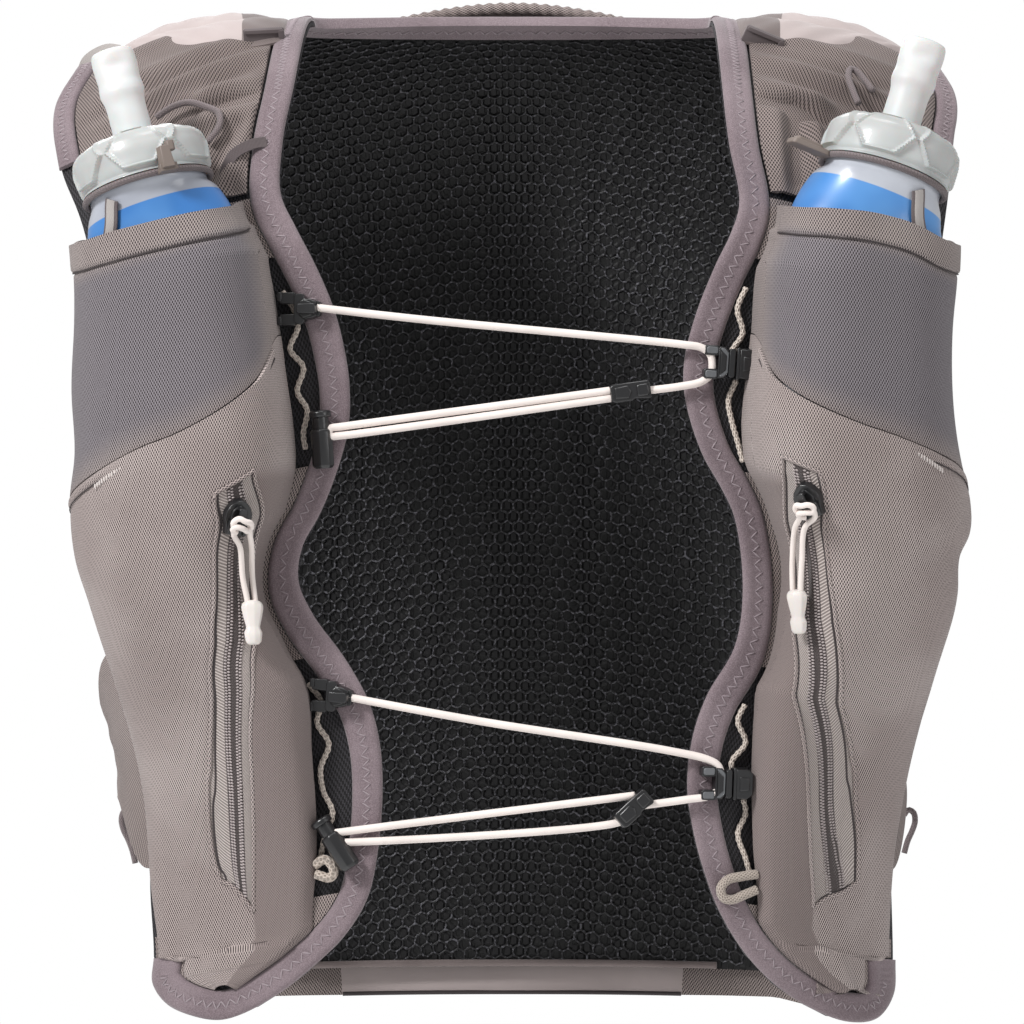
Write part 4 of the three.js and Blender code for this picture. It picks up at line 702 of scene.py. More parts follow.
def grown(name, tree, points, edges, vectors, values, material):
    """The plain mesh that a node tree makes over points in mm."""
    seed = bpy.data.meshes.new(name + "_seed")
    seed.from_pydata((np.asarray(points) * MM).tolist(), edges, [])
    for key, rows in vectors.items():
        seed.attributes.new(key, "FLOAT_VECTOR", "POINT").data.foreach_set(
            "vector", np.asarray(rows, np.float32).ravel())
    holder = bpy.data.objects.new(name + "_seed", seed)
    bpy.context.collection.objects.link(holder)
    grow = holder.modifiers.new("Grow", "NODES")
    grow.node_group = tree
    sockets = {s.name: s.identifier for s in tree.interface.items_tree if s.in_out == "INPUT"}
    for key, value in values.items():
        grow[sockets[key]] = float(value * MM)
    grow[sockets["Material"]] = material
    shown = holder.evaluated_get(bpy.context.evaluated_depsgraph_get())
    mesh = bpy.data.meshes.new_from_object(shown)
    mesh.name = name
    bpy.data.objects.remove(holder)
    made = bpy.data.objects.new(name, mesh)
    bpy.context.collection.objects.link(made)
    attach(made, "vest")


def threads(name, starts, ends, outs, thickness, material):
    """Stitches from starts to ends."""
    way = ends - starts
    length = np.linalg.norm(way, axis=1)
    grown(name, THREADS, (starts + ends) / 2, [], {"way": way / length[:, None], "out": outs},
          {"Length": length.mean() * 1.1, "Thickness": thickness}, material)


# Materials: patterns are in millimetres of each piece's own uv


def linear(code):
    """A hex colour as linear red, green, blue and alpha."""
    parts = [int(code[i:i + 2], 16) / 255 for i in (1, 3, 5)]
    return (*(p / 12.92 if p <= 0.04045 else ((p + 0.055) / 1.055) ** 2.4 for p in parts), 1)


def surface_of(name, roughness, **settings):
    """A material and its shader, with the shader's own inputs set by name."""
    made = bpy.data.materials.new(name)
    made.use_nodes = True
    shader = made.node_tree.nodes["Principled BSDF"]
    shader.inputs["Roughness"].default_value = roughness
    for key, value in settings.items():
        shader.inputs[key.replace("_", " ")].default_value = value
    return made, made.node_tree, shader


def lattice(tree, across, down):
    """From -1 to 1 over staggered spots: across apart in a row, and rows down apart, in mm."""
    uv = node(tree, "ShaderNodeUVMap", uv_map="UVMap")
    turns = node(tree, "ShaderNodeVectorMath", {
        "Vector": uv.outputs[0],
        "Vector_001": (2 * math.pi / across, math.pi / down, 0)}, operation="MULTIPLY")
    waves = node(tree, "ShaderNodeVectorMath", {"Vector": turns.outputs[0]}, operation="COSINE")
    parts = node(tree, "ShaderNodeSeparateXYZ", {"Vector": waves.outputs[0]})
    return calc(tree, "MULTIPLY", *parts.outputs[:2])


def between(tree, value, low, high, start=0.0, end=1.0):
    return node(tree, "ShaderNodeMapRange", {
        "Value": value, "From Min": low, "From Max": high, "To Min": start, "To Max": end},
        interpolation_type="SMOOTHSTEP").outputs[0]


def stripe(tree, value, start, end, edge):
    """1 from start to end, with its edges softened."""
    return calc(tree, "MULTIPLY", between(tree, value, start, start + edge),
                between(tree, value, end, end + edge, 1, 0))


def mixed(tree, factor, a, b):
    return node(tree, "ShaderNodeMix", {"Factor_Float": factor, "A_Color": a, "B_Color": b},
                data_type="RGBA").outputs[2]


def clouds(tree, scale, detail=2.0):
    """Soft noise over the vest; scale is in spots to the metre."""
    place = node(tree, "ShaderNodeTexCoord")
    return node(tree, "ShaderNodeTexNoise", {
        "Vector": place.outputs["Object"], "Scale": scale, "Detail": detail}).outputs[0]


def bumped(tree, shader, height, depth, strength=1.0):
    """Relief of that depth in mm."""
    relief = node(tree, "ShaderNodeBump", {
        "Height": height, "Distance": depth * MM, "Strength": strength})
    tree.links.new(relief.outputs[0], shader.inputs["Normal"])


def painted(tree, shader, colour):
    tree.links.new(colour, shader.inputs["Base Color"])


def knit(name, base, light, hole, across, down, tint=None, rib=None):
    """Warp knit with small staggered holes; ribbed or seen through where an attribute says."""
    made, tree, shader = surface_of(name, 0.88, Sheen_Weight=0.1, Sheen_Roughness=0.6,
                                    Specular_IOR_Level=0.2)
    spots = lattice(tree, across, down)
    holes = between(tree, spots, -0.25, 0.5)
    tone = between(tree, clouds(tree, 22), 0.35, 0.65)
    yarn = mixed(tree, tone, linear(base), linear(light))
    if tint:
        behind = node(tree, "ShaderNodeAttribute", attribute_name="flask_behind")
        yarn = mixed(tree, behind.outputs["Fac"], yarn, linear(tint))
    if rib:
        panel = node(tree, "ShaderNodeAttribute", attribute_name="rib_panel")
        ribs = between(tree, lattice(tree, across * 0.9, down * 0.6), -0.4, 0.8, 0, 0.75)
        holes = mixed(tree, panel.outputs["Fac"], holes, ribs)
        yarn = mixed(tree, panel.outputs["Fac"], yarn, linear(rib))
    painted(tree, shader, mixed(tree, holes, yarn, linear(hole)))
    bumped(tree, shader, between(tree, spots, -0.6, 0.8, 1, 0), 0.3, 0.5)
    return made


def brushed(name, base, light):
    """Soft stretch binding with a brushed face, which takes a pale edge at a low angle."""
    made, tree, shader = surface_of(name, 0.9, Sheen_Weight=0.35, Sheen_Roughness=0.45,
                                    Specular_IOR_Level=0.2)
    grains = clouds(tree, 2600, 1)
    tone = between(tree, clouds(tree, 35), 0.3, 0.7)
    body_colour = mixed(tree, tone, linear(base), linear(light))
    painted(tree, shader, mixed(tree, between(tree, grains, 0.3, 0.75, 0, 0.35), body_colour,
                                linear("#b3a3a9")))
    bumped(tree, shader, grains, 0.2, 0.5)
    return made


def woven(name, base, light, thread=0.5, roughness=0.75):
    """Fine plain weave, lighter and darker in soft random patches."""
    made, tree, shader = surface_of(name, roughness, Sheen_Weight=0.2, Specular_IOR_Level=0.3)
    tone = between(tree, clouds(tree, 30), 0.35, 0.65)
    painted(tree, shader, mixed(tree, tone, linear(base), linear(light)))
    bumped(tree, shader, lattice(tree, thread, thread), 0.12, 0.4)
    return made


def braid(name, base, dark, across, down):
    """Braided sheath of a cord: crossing ridges, with painted shade darkening the hollows between
    them.
    """
    made, tree, shader = surface_of(name, 0.8, Sheen_Weight=0.2, Specular_IOR_Level=0.3)
    ridges = lattice(tree, across, down)
    # Painted shade: the hollows between the ridges take the darker colour
    hollows = between(tree, ridges, -0.9, 0.1, 1, 0)
    painted(tree, shader, mixed(tree, hollows, linear(base), linear(dark)))
    bumped(tree, shader, ridges, 0.3, 0.7)
    return made


def plain(name, colour, roughness, grain=0.0, **settings):
    """Moulded or drawn stuff with a faint unevenness."""
    made, tree, shader = surface_of(name, roughness, **settings)
    mottle = between(tree, clouds(tree, 60), 0.3, 0.7)
    rgb = linear(colour)
    deeper = tuple(c * 0.9 for c in rgb[:3]) + (1,)
    painted(tree, shader, mixed(tree, mottle, deeper, rgb))
    if grain:
        bumped(tree, shader, clouds(tree, 1500, 1), grain, 0.4)
    return made


def spacer_cloth(name, base, strand, across, down):
    """Warp-knitted mesh whose strands are paler than the round holes between them."""
    made, tree, shader = surface_of(name, 0.6, Specular_IOR_Level=0.4)
    spots = lattice(tree, across, down)
    holes = between(tree, spots, -0.1, 0.35)
    painted(tree, shader, mixed(tree, holes, linear(strand), linear(base)))
    bumped(tree, shader, between(tree, spots, -0.3, 0.5, 1, 0), 0.6, 0.8)
    return made


def net_yarn(name, dark, glint):
    """Twisted shiny yarn, with small glints painted along it as paler specks."""
    made, tree, shader = surface_of(name, 0.45, Specular_IOR_Level=0.5)
    # Painted highlight: paler specks in the colour stand in for glints
    glints = between(tree, clouds(tree, 900, 1), 0.52, 0.7)
    painted(tree, shader, mixed(tree, glints, linear(dark), linear(glint)))
    bumped(tree, shader, glints, 0.2, 0.6)
    return made


def film_of(name):
    """Printed flask film: pale above, then a blue band, a fine white line and pale blue."""
    made, tree, shader = surface_of(name, 0.28, Coat_Weight=0.4, Coat_Roughness=0.15,
                                    Specular_IOR_Level=0.5)
    uv = node(tree, "ShaderNodeUVMap", uv_map="UVMap")
    down = node(tree, "ShaderNodeSeparateXYZ", {"Vector": uv.outputs[0]}).outputs[1]
    tone = between(tree, clouds(tree, 28), 0.35, 0.65)
    pale = mixed(tree, tone, linear("#a3a7b2"), linear("#bfc3cc"))
    blue = mixed(tree, tone, linear("#3a78bd"), linear("#5c98d8"))
    colour = mixed(tree, stripe(tree, down, 6.6, 19, 0.4), pale, blue)
    painted(tree, shader, mixed(tree, stripe(tree, down, 19.4, 20.4, 0.2), colour,
                                linear("#dfe6ee")))
    return made


def tape_of(name):
    """Woven zip tape with a herringbone on each side of the coil, painted dark under the coil as
    shade between its turns.
    """
    made, tree, shader = surface_of(name, 0.8, Sheen_Weight=0.15, Specular_IOR_Level=0.3)
    uv = node(tree, "ShaderNodeUVMap", uv_map="UVMap")
    parts = node(tree, "ShaderNodeSeparateXYZ", {"Vector": uv.outputs[0]})
    fold = calc(tree, "ABSOLUTE", parts.outputs[0])
    slope = calc(tree, "ADD", fold, parts.outputs[1])
    ribs = calc(tree, "SINE", calc(tree, "MULTIPLY", slope, 2 * math.pi / 1.3))
    # Painted shade: under the coil the tape takes a dark colour, so the gaps between the turns
    # read dark
    coil = between(tree, fold, 3.3, 3.7, 1, 0)
    colour = mixed(tree, between(tree, ribs, -0.5, 0.9), linear("#8a807c"), linear("#cdc2bd"))
    painted(tree, shader, mixed(tree, coil, colour, linear("#514948")))
    bumped(tree, shader, ribs, 0.25, 0.8)
    return made


KNIT = knit("Knit_panel", "#978a86", "#a79a96", "#2e2627", 1.1, 0.95)
POCKET_KNIT = knit("Knit_pocket", "#9e928f", "#aca09c", "#292325", 1.15, 0.97, tint="#878186")
ZIP_KNIT = knit("Knit_zip_pocket", "#b2a4a0", "#c1b4b0", "#30282a", 1.1, 0.95, rib="#8f827f")
BINDING = brushed("Binding", "#675a5e", "#7a6d71")
BLACK_NET = net_yarn("Spacer_strands", "#0d0c0f", "#5b5a60")
BLACK_BACK = spacer_cloth("Spacer_back", "#060607", "#111012", 5.3, 4.6)
LINING = spacer_cloth("Lining_mesh", "#0d0c0e", "#343236", 1.5, 1.5)
WOVEN = woven("Woven_pale", "#b3a6a4", "#bbaeac")
WOVEN_DARK = woven("Woven_taupe", "#6a5f5d", "#786d6b", thread=0.8)
WEBBING = woven("Webbing", "#5c5354", "#6b6263", thread=0.9, roughness=0.85)
PALE_TAPE = woven("Tape_grey", "#9d9794", "#b0aaa7", thread=0.9)
CORD = plain("Cord_pale", "#efe4de", 0.75, Sheen_Weight=0.25)
RAIL = braid("Cord_rail", "#d9cdc2", "#7f7168", 1.2, 1.4)
TAUPE_CORD = braid("Cord_taupe", "#85797a", "#5a5052", 0.8, 0.7)
LOOP_LEFT = braid("Cord_knitted", "#c5b8ad", "#85786d", 1.9, 1.3)
LOOP_RIGHT = braid("Cord_tubular", "#b5a99f", "#776c64", 1.2, 0.9)
THREAD = plain("Thread_pale", "#988b90", 0.6, Sheen_Weight=0.3)
THREAD_TACK = plain("Thread_tack", "#d6cdc9", 0.6, Sheen_Weight=0.3)
# Dark thread for the seam lines; the same colour paints the shadow line round each zip opening
THREAD_AND_SHADOW_DARK = plain("Thread_and_shadow_dark", "#3f3839", 0.8)
BLACK_PLASTIC = plain("Plastic_black", "#1b1b1d", 0.3, grain=0.05, Specular_IOR_Level=0.7)
BEAD = plain("Moulded_pale", "#e6dbd6", 0.4, Subsurface_Weight=0.1)
FROSTED = plain("Cap_frosted", "#b4b7b6", 0.4, Subsurface_Weight=0.1, Coat_Weight=0.2)
SILICONE = plain("Silicone", "#cfd1d1", 0.5, Subsurface_Weight=0.2)
TAB = plain("Tab_taupe", "#7a6e67", 0.5, grain=0.05)
COVER_KNIT = knit("Knit_cover", "#857874", "#948783", "#292223", 1.1, 0.95)
# Paler grey plastic that paints the highlight of glossy black buckles
PAINTED_GLINT_PLASTIC = plain("Plastic_painted_glint", "#616366", 0.35, Specular_IOR_Level=0.7)
FILM = film_of("Flask_film")
TAPE = tape_of("Zip_tape")
COIL = plain("Zip_coil", "#b2a7a6", 0.45)
FLOOR, _, _ = surface_of("Studio_floor", 0.9, Base_Color=linear("#f0f0f0"),
                         Emission_Color=linear("#ffffff"), Emission_Strength=0.22)

# Zips: a tape set into each lower pocket, its coil, slider and pull

# Edges of the zip openings as rows of (drop, u), on the side of the seam and of the armhole
ZIP_EDGES = {
    "left": {
        "inner": [(0.4574, 0.2576), (0.4939, 0.1886), (0.5228, 0.145), (0.5914, 0.14),
                  (0.64, 0.262), (0.6795, 0.345), (0.7482, 0.388), (0.8072, 0.412),
                  (0.8887, 0.4292)],
        "outer": [(0.4729, 0.373), (0.5171, 0.3261), (0.5752, 0.3127), (0.61, 0.37),
                  (0.652, 0.4426), (0.7506, 0.5021), (0.8, 0.5124), (0.8326, 0.5099),
                  (0.8516, 0.5029)],
    },
    "right": {
        "inner": [(0.4414, 0.2426), (0.493, 0.15), (0.5588, 0.12), (0.6, 0.14),
                  (0.637, 0.2), (0.7138, 0.3286), (0.7915, 0.4006), (0.8504, 0.4322),
                  (0.8771, 0.4393)],
        "outer": [(0.451, 0.3554), (0.4879, 0.3191), (0.552, 0.2906), (0.59, 0.33),
                  (0.6284, 0.378), (0.7061, 0.4845), (0.7648, 0.5168), (0.8136, 0.5547),
                  (0.8447, 0.5657)],
    },
}
TAPE_SUNK = 1.5


class Zip:
    """The opening of one zip, on the form of its pocket."""

    def __init__(self, side):
        edges = ZIP_EDGES[side]
        self.front = FRONTS[side]
        self.inner, self.outer = (table(edges[k]) for k in ("inner", "outer"))
        self.tops = [edges[k][0][0] for k in ("inner", "outer")]
        self.ends = [edges[k][-1][0] for k in ("inner", "outer")]

    def place(self, u, v):
        """(u of the pocket, run) at shares across and down the tape."""
        drops = [top + (end - top) * v for top, end in zip(self.tops, self.ends)]
        drop = drops[0] + (drops[1] - drops[0]) * u
        across = self.inner(drops[0]) + (self.outer(drops[1]) - self.inner(drops[0])) * u
        return across, front_run(drop)

    def surface(self, u, v, lift):
        across, run = self.place(u, v)
        return self.front.on_pocket(across, run, lift)

    def opening(self, across, run):
        """1 inside the opening, 0 outside it."""
        drop = front_share(run)
        inner, outer = self.inner(drop), self.outer(drop)
        share = np.clip((across - inner) / (outer - inner), 0, 1)
        top = self.tops[0] + (self.tops[1] - self.tops[0]) * share
        end = self.ends[0] + (self.ends[1] - self.ends[0]) * share
        return smoothstep(across, inner - 0.006, inner + 0.006) \
            * smoothstep(across, outer + 0.006, outer - 0.006) \
            * smoothstep(drop, top - 0.002, top + 0.002) \
            * smoothstep(drop, end + 0.002, end - 0.002)


ZIPS = {side: Zip(side) for side in SIDES}

# Camera, level with the middle of the vest

camera = bpy.data.objects.new("Camera", bpy.data.cameras.new("Camera"))
bpy.context.collection.objects.link(camera)
camera.location = (0, -1.8, -0.189)
camera.rotation_euler = (math.pi / 2, 0, 0)
camera.data.lens, camera.data.sensor_width = 154.3, 36
camera.data.clip_end = 50
bpy.context.scene.camera = camera

# Cords, along the same points as in the CAD

CORD_ROUTES = {
    "closure_cord_upper": [
        [-80, -104.3, -109.4], [-74, -104.3, -110.2], [-31, -104.6, -115], [33, -104.6, -121],
        [66, -104.3, -124.3], [73, -103.8, -125.4], [76.6, -103.4, -128], [77.4, -103.3, -132],
        [76.6, -103.4, -136], [73, -103.8, -138.7], [66, -104.2, -140.3], [48, -104.6, -142.6],
    ],
    "closure_cord_lower": [
        [-66, -103.3, -260], [-61, -103.4, -261], [-12, -104, -269.9], [60, -102.3, -281.2],
        [76, -101, -284.9], [80, -100.3, -287.5], [81, -100, -292], [80, -100.3, -296.5],
        [76, -101, -299], [68, -101.6, -300.2], [50, -102.4, -302.6],
    ],
    "zip_pull_left": [
        [-100.5, -123.3, -228.7], [-101.2, -123.1, -222.6], [-102.8, -125, -213.8],
        [-103.4, -129.9, -202.7], [-105.4, -137, -197.5], [-104.8, -138.7, -194.5],
        [-102.2, -138.1, -192.9], [-99.5, -136.5, -193.7], [-99.5, -134.7, -196.7],
        [-99.3, -126.1, -202.7], [-99.3, -121.2, -213.9], [-98.3, -121, -222.7],
        [-97.7, -122.4, -228.7],
    ],
    "zip_pull_right": [
        [107.8, -119.9, -224.6], [107.4, -120.3, -218.1], [107.2, -122, -207.3],
        [107.8, -128, -195.1], [109.3, -133.1, -190.9], [108.5, -135, -188.1],
        [110.7, -136.8, -186.8], [113.6, -137.7, -187.8], [114.9, -136.1, -190.6],
        [111.3, -130.7, -195.1], [110.6, -125.5, -207.3], [110.3, -122.8, -218],
        [110.6, -121.6, -224.6],
    ],
    "cord_loop_left": [
        [-76.5, -99.1, -325.8], [-72.4, -100.4, -323.6], [-69.4, -101.1, -326.4],
        [-69.2, -101.1, -329.2], [-70.8, -100.6, -330.6], [-76.1, -99.2, -329.3],
    ],
    "cord_loop_right": [
        [95.3, -93.6, -329.8], [89.2, -95.8, -330.5], [83.7, -97.4, -331.7], [81, -98.4, -334.8],
        [81.9, -98.1, -338.4], [85.5, -96.9, -339.4], [90.1, -95.6, -337.7],
        [95.1, -93.7, -335.8],
    ],
    "neck_loop_left": [
        [-140.5, -65.2, -34.6], [-134.2, -64.9, -30.4], [-127.8, -66.3, -28.7],
        [-121, -70.3, -30.5], [-115, -74.6, -33.8], [-114.8, -78, -39.2], [-119.2, -80, -45.6],
    ],
    "neck_loop_right": [
        [136.8, -63.6, -29], [134.8, -59.5, -22.9], [133.5, -54.7, -17.3], [135, -50.3, -13.8],
        [137.8, -50.9, -15.5], [140.7, -53.7, -19.5], [143.1, -56, -23.2],
    ],
    "side_loop_left": [
        [-152.6, -24, -311.5], [-154.4, -24, -309.5], [-156.8, -24, -309.9], [-158, -24, -313],
        [-157.3, -24, -317.3], [-155.2, -24, -321.7], [-153.6, -24, -326.1],
        [-152.4, -24, -331.1],
    ],
    "side_loop_right": [
        [159.5, -14, -312.3], [161.2, -14, -310.2], [163.4, -14, -311.3], [164, -14, -314.8],
        [162.8, -14, -318.8], [161, -14, -322.8], [159.6, -14, -327.8],
    ],
}
RAIL_ROUTES = {
    "rail_upper_left": [
        (88.6, 112), (84.5, 119), (82.6, 127), (85.6, 135), (80.5, 143), (82.8, 152), (79, 160),
        (80.5, 169), (79.6, 175),
    ],
    "rail_lower_left": [
        (78.6, 266), (73.5, 274), (75, 282), (70.5, 291), (73.6, 300), (72.6, 309), (69, 318),
        (72, 327), (74.5, 338),
    ],
    "rail_upper_right": [
        (90.4, 110), (87, 119), (89, 128), (84.5, 137), (86.5, 146), (83.5, 155), (84.8, 163),
        (87.2, 171), (89.2, 178),
    ],
    "rail_lower_right": [
        (89.8, 272), (87, 279), (90, 287), (84.5, 296), (87.5, 305), (90, 314), (87, 323),
        (90, 332), (92, 339),
    ],
}
LOOP_ROUTES = {
    "upper": [[43, -104.9, -141.4], [-67, -105.6, -156.2], [-69.9, -105.6, -156.6],
              [-70.8, -105.6, -158.2], [-69.9, -105.6, -159.7], [-67, -105.6, -159.6],
              [43, -104.9, -144.4]],
    "lower": [[47.5, -102.7, -298.6], [-68, -103.8, -313], [-70.9, -103.8, -313.5],
              [-71.8, -103.8, -315.1], [-70.9, -103.8, -316.7], [-68, -103.8, -316.8],
              [40.5, -102.9, -309.2], [46, -104, -306.4]],
}
CLOSURE_CORD_DIAMETER = 3
RAIL_CORD_DIAMETER = 2.2
ELASTIC_DIAMETER = 2.6
LOOP_CORD_DIAMETER = 3.8
SIDE_CORD_DIAMETER = 2.4


def loose_loop(name, points, diameter, material, stiffness="limp", lay="loose", **rest):
    """A cord fixed at both ends, made as a tube."""
    made, even, reach = tube(name, points, diameter, material, **rest)


for level in ("upper", "lower"):
    for kind, route in (("cord", CORD_ROUTES[f"closure_cord_{level}"]),
                        ("loop", LOOP_ROUTES[level])):
        loose_loop(f"Front_{kind}_{level}", route, CLOSURE_CORD_DIAMETER, CORD, "medium", "taut",
                   nodes=[f"closure_{kind}_{level}"], slot="cord_pale")

for side, sign in SIDES.items():
    raised = np.array(CORD_ROUTES[f"neck_loop_{side}"]) + [0, -3.2, 1.2]
    loose_loop(f"Neck_elastic_{side}", raised, ELASTIC_DIAMETER, TAUPE_CORD,
               nodes=[f"neck_loop_{side}"], slot="cord_taupe")
    loose_loop(f"Edge_loop_{side}", CORD_ROUTES[f"cord_loop_{side}"], LOOP_CORD_DIAMETER,
               LOOP_LEFT if side == "left" else LOOP_RIGHT, step=0.7,
               nodes=[f"cord_loop_{side}"], slot="cord_pale")
    loose_loop(f"Side_elastic_{side}", CORD_ROUTES[f"side_loop_{side}"], SIDE_CORD_DIAMETER,
               TAUPE_CORD, nodes=[f"side_loop_{side}"], slot="cord_taupe")
    for level in ("upper", "lower"):
        rows = RAIL_ROUTES[f"rail_{level}_{side}"]
        x, drop = np.array(rows, float).T
        points = on_body(sign * x, -run_of(drop), LINING_WALL + FIT_GAP + RAIL_CORD_DIAMETER / 2)
        tube(f"Rail_{level}_{side}", points, RAIL_CORD_DIAMETER, RAIL, step=0.6,
             wave=lambda at: 1 + 0.12 * np.sin(at * 2 * math.pi / 2.6),
             nodes=[f"rail_{level}_{side}"], slot="cord_pale")

# Front linings

LINING_END = 0.984


def shares(count):
    return np.linspace(0, 1, count)


def lining_surface(front):
    end = float(front_run(LINING_END))

    def surface(u, v, lift):
        run = end * v ** 0.92
        inner, outer = front.line("lining_in", run), front.line("lining_out", run)
        x = inner + (outer - inner) * u
        return on_body(front.sign * x, -run - FIT_GAP * (1 - v), lift)

    return surface


for side, front in FRONTS.items():
    cloth(f"Front_lining_{side}", lining_surface(front), shares(30), shares(130), 0,
          LINING_WALL, LINING, nodes=[f"front_lining_{side}"], slot="mesh_black")

# Bindings: folded bands with a rounded section, puckered where the thread pulls

STITCH_PERIOD, PUCKER_DEPTH = 4.9, 0.45
SEAM_LIFT = POCKET_BASE + 2.0
STRAP_SEAM_END = 0.16


def binding(name, path, width, sign, base, under, count, columns, front=-1, **rest):
    """A band along a path of (x, run); returns its path for the seam on it."""
    even, way, reach = follow(path, count)
    us, at = shares(columns), np.linspace(0, reach, count)
    x, run = np.moveaxis(even[:, None] + aside(way)[:, None] * (width * us)[None, :, None], 2, 0)
    bulge = (1 - np.abs(2 * us - 1) ** 5) ** 0.6
    pulled = np.exp(-((us - 0.5) / 0.2) ** 4)[None] * (
        0.5 + 0.5 * np.cos(4 * math.pi * at / STITCH_PERIOD))[:, None]
    height = BINDING_WALL * (0.3 + 0.7 * bulge)[None] - PUCKER_DEPTH * pulled
    sheet(name, on_body(sign * x, front * run, base + height),
          on_body(sign * x, front * run, under), BINDING, slot="binding_mauve", **rest)
    return even, way, reach


def zigzag(name, line, sign, base, front=-1, half=1.5, width=BINDING_WIDTH, start=0.0, end=1.0,
           period=STITCH_PERIOD, thickness=0.62):
    """A zigzag seam that follows a band."""
    even, way, reach = line
    at = np.arange(reach * start, reach * end, period / 2)
    lines = np.linspace(0, reach, len(even))
    place, turn = (np.stack([np.interp(at, lines, rows[:, k]) for k in (0, 1)], axis=1)
                   for rows in (even, way))
    swing = width * 0.5 + half * np.where(np.arange(len(at)) % 2, 1, -1)
    flat = place + aside(turn) * swing[:, None]
    on = on_body(sign * flat[:, 0], front * flat[:, 1], base)
    out = on_body(sign * flat[:, 0], front * flat[:, 1], base + 1) - on
    threads(name, on[:-1], on[1:], out[:-1], thickness, THREAD)


for side, front in FRONTS.items():
    sign, lining = front.sign, [f"Front_lining_{side}"]
    line = binding(f"Edge_binding_{side}", edge_path(side), BINDING_WIDTH, sign, POCKET_BASE,
                   POCKET_BASE, 620, 17, nodes=[f"edge_binding_{side}"], rests_on=lining)
    zigzag(f"Edge_seam_{side}", line, sign, SEAM_LIFT, start=STRAP_SEAM_END, end=0.985)
    zigzag(f"Strap_seam_{side}", line, sign, SEAM_LIFT, end=STRAP_SEAM_END, period=2.4,
           half=1.6, thickness=0.55)

    runs = 3 + np.arange(11) * 9.4
    path = np.stack([front.line("outer", runs) - ARMHOLE_BINDING_WIDTH, runs], axis=1)
    line = binding(f"Armhole_binding_{side}", path, ARMHOLE_BINDING_WIDTH, sign, POCKET_BASE,
                   POCKET_BASE, 150, 13, nodes=[f"armhole_binding_{side}"], rests_on=lining)
    zigzag(f"Armhole_seam_{side}", line, sign, SEAM_LIFT, width=ARMHOLE_BINDING_WIDTH, half=1.3)

# Strap covers: knit with folds that run from the neck edge down to the armhole

# Each fold: from (x, run) to (x, run), height, width
COVER_FOLDS = {
    "left": [
        (118, 12, 165, 40, 1.6, 7), (94, 40, 160, 64, 1.6, 5), (94, 50, 165, 78, -1.6, 4),
        (94, 56, 160, 84, 2.2, 4.5), (95, 66, 150, 92, -1.6, 3), (96, 78, 128, 81, 2.6, 3.5),
        (94, 86, 124, 88.5, -4.5, 2.6), (97, 94, 126, 97, 2.2, 4), (99, 98, 112, 128, 2.8, 3.5),
        (106, 100, 118, 126, -2.4, 3), (96, 118, 106, 127, -4.0, 3.2),
        (120, 92, 150, 126, 1.6, 5),
    ],
    "right": [
        (118, 12, 165, 36, 1.6, 7), (94, 42, 160, 54, 1.6, 5), (94, 56, 150, 66, -1.4, 3.5),
        (94, 64, 150, 76, 2.0, 4), (95, 73, 140, 84, -1.4, 3), (96, 81, 132, 88, 2.8, 3.5),
        (94, 89, 112, 91, -4.5, 2.6), (112, 91, 124, 97, -4.0, 2.8),
        (102, 98, 104, 140, 2.6, 3.5),
        (110, 96, 110, 122, -3.4, 4), (118, 100, 122, 135, 2.2, 4), (94, 98, 97, 138, -1.6, 2.5),
    ],
}


FOLD_FACTOR = 1.5


def fold_relief(folds, x, run):
    total = np.zeros(np.broadcast(x, run).shape)
    for x0, run0, x1, run1, height, width in folds:
        dx, dy = x1 - x0, run1 - run0
        length = math.hypot(dx, dy)
        along = ((x - x0) * dx + (run - run0) * dy) / length
        away = np.abs((run - run0) * dx - (x - x0) * dy) / length
        past = np.maximum(0, np.maximum(-along, along - length))
        total += FOLD_FACTOR * height * np.exp(-(np.hypot(away, past * 0.6) / width) ** 2)
    return total


# Share of each yoke that is of the darker cloth, next to the neck
YOKE_SEAM = 0.22

# Run of the seam between each pale yoke and the strap cover, read by x
YOKE_LINE = table([(88, 48), (109, 47), (120, 42), (135, 33), (150, 18), (163, 6)])


def cover_surface(front):
    end = float(front_run(POCKET_MOUTH - 0.02))

    def place(u, v):
        near, far = front.line("bound", 30), front.line("outer", 30)
        top = YOKE_LINE(near + (far - near) * u)
        run = top + (end - top) * v
        inner = front.line("bound", run) + SEAM_GAP
        outer = front.line("outer", run) - ARMHOLE_BINDING_WIDTH - 2 * SEAM_GAP
        return inner + (outer - inner) * u, run

    def surface(u, v, lift):
        x, run = place(u, v)
        return on_body(front.sign * x, -run, lift)

    def relief(u, v):
        """Folds, pressed flat under the flask's cap."""
        x, run = place(u, v)
        pressed = 1 - 0.92 * smoothstep(x, 116, 130) * smoothstep(run, 70, 88)
        return hump(u) ** 0.5 * pressed * (3.6 + np.maximum(
            -3.5, fold_relief(COVER_FOLDS[front.side], x, run)))

    return surface, relief


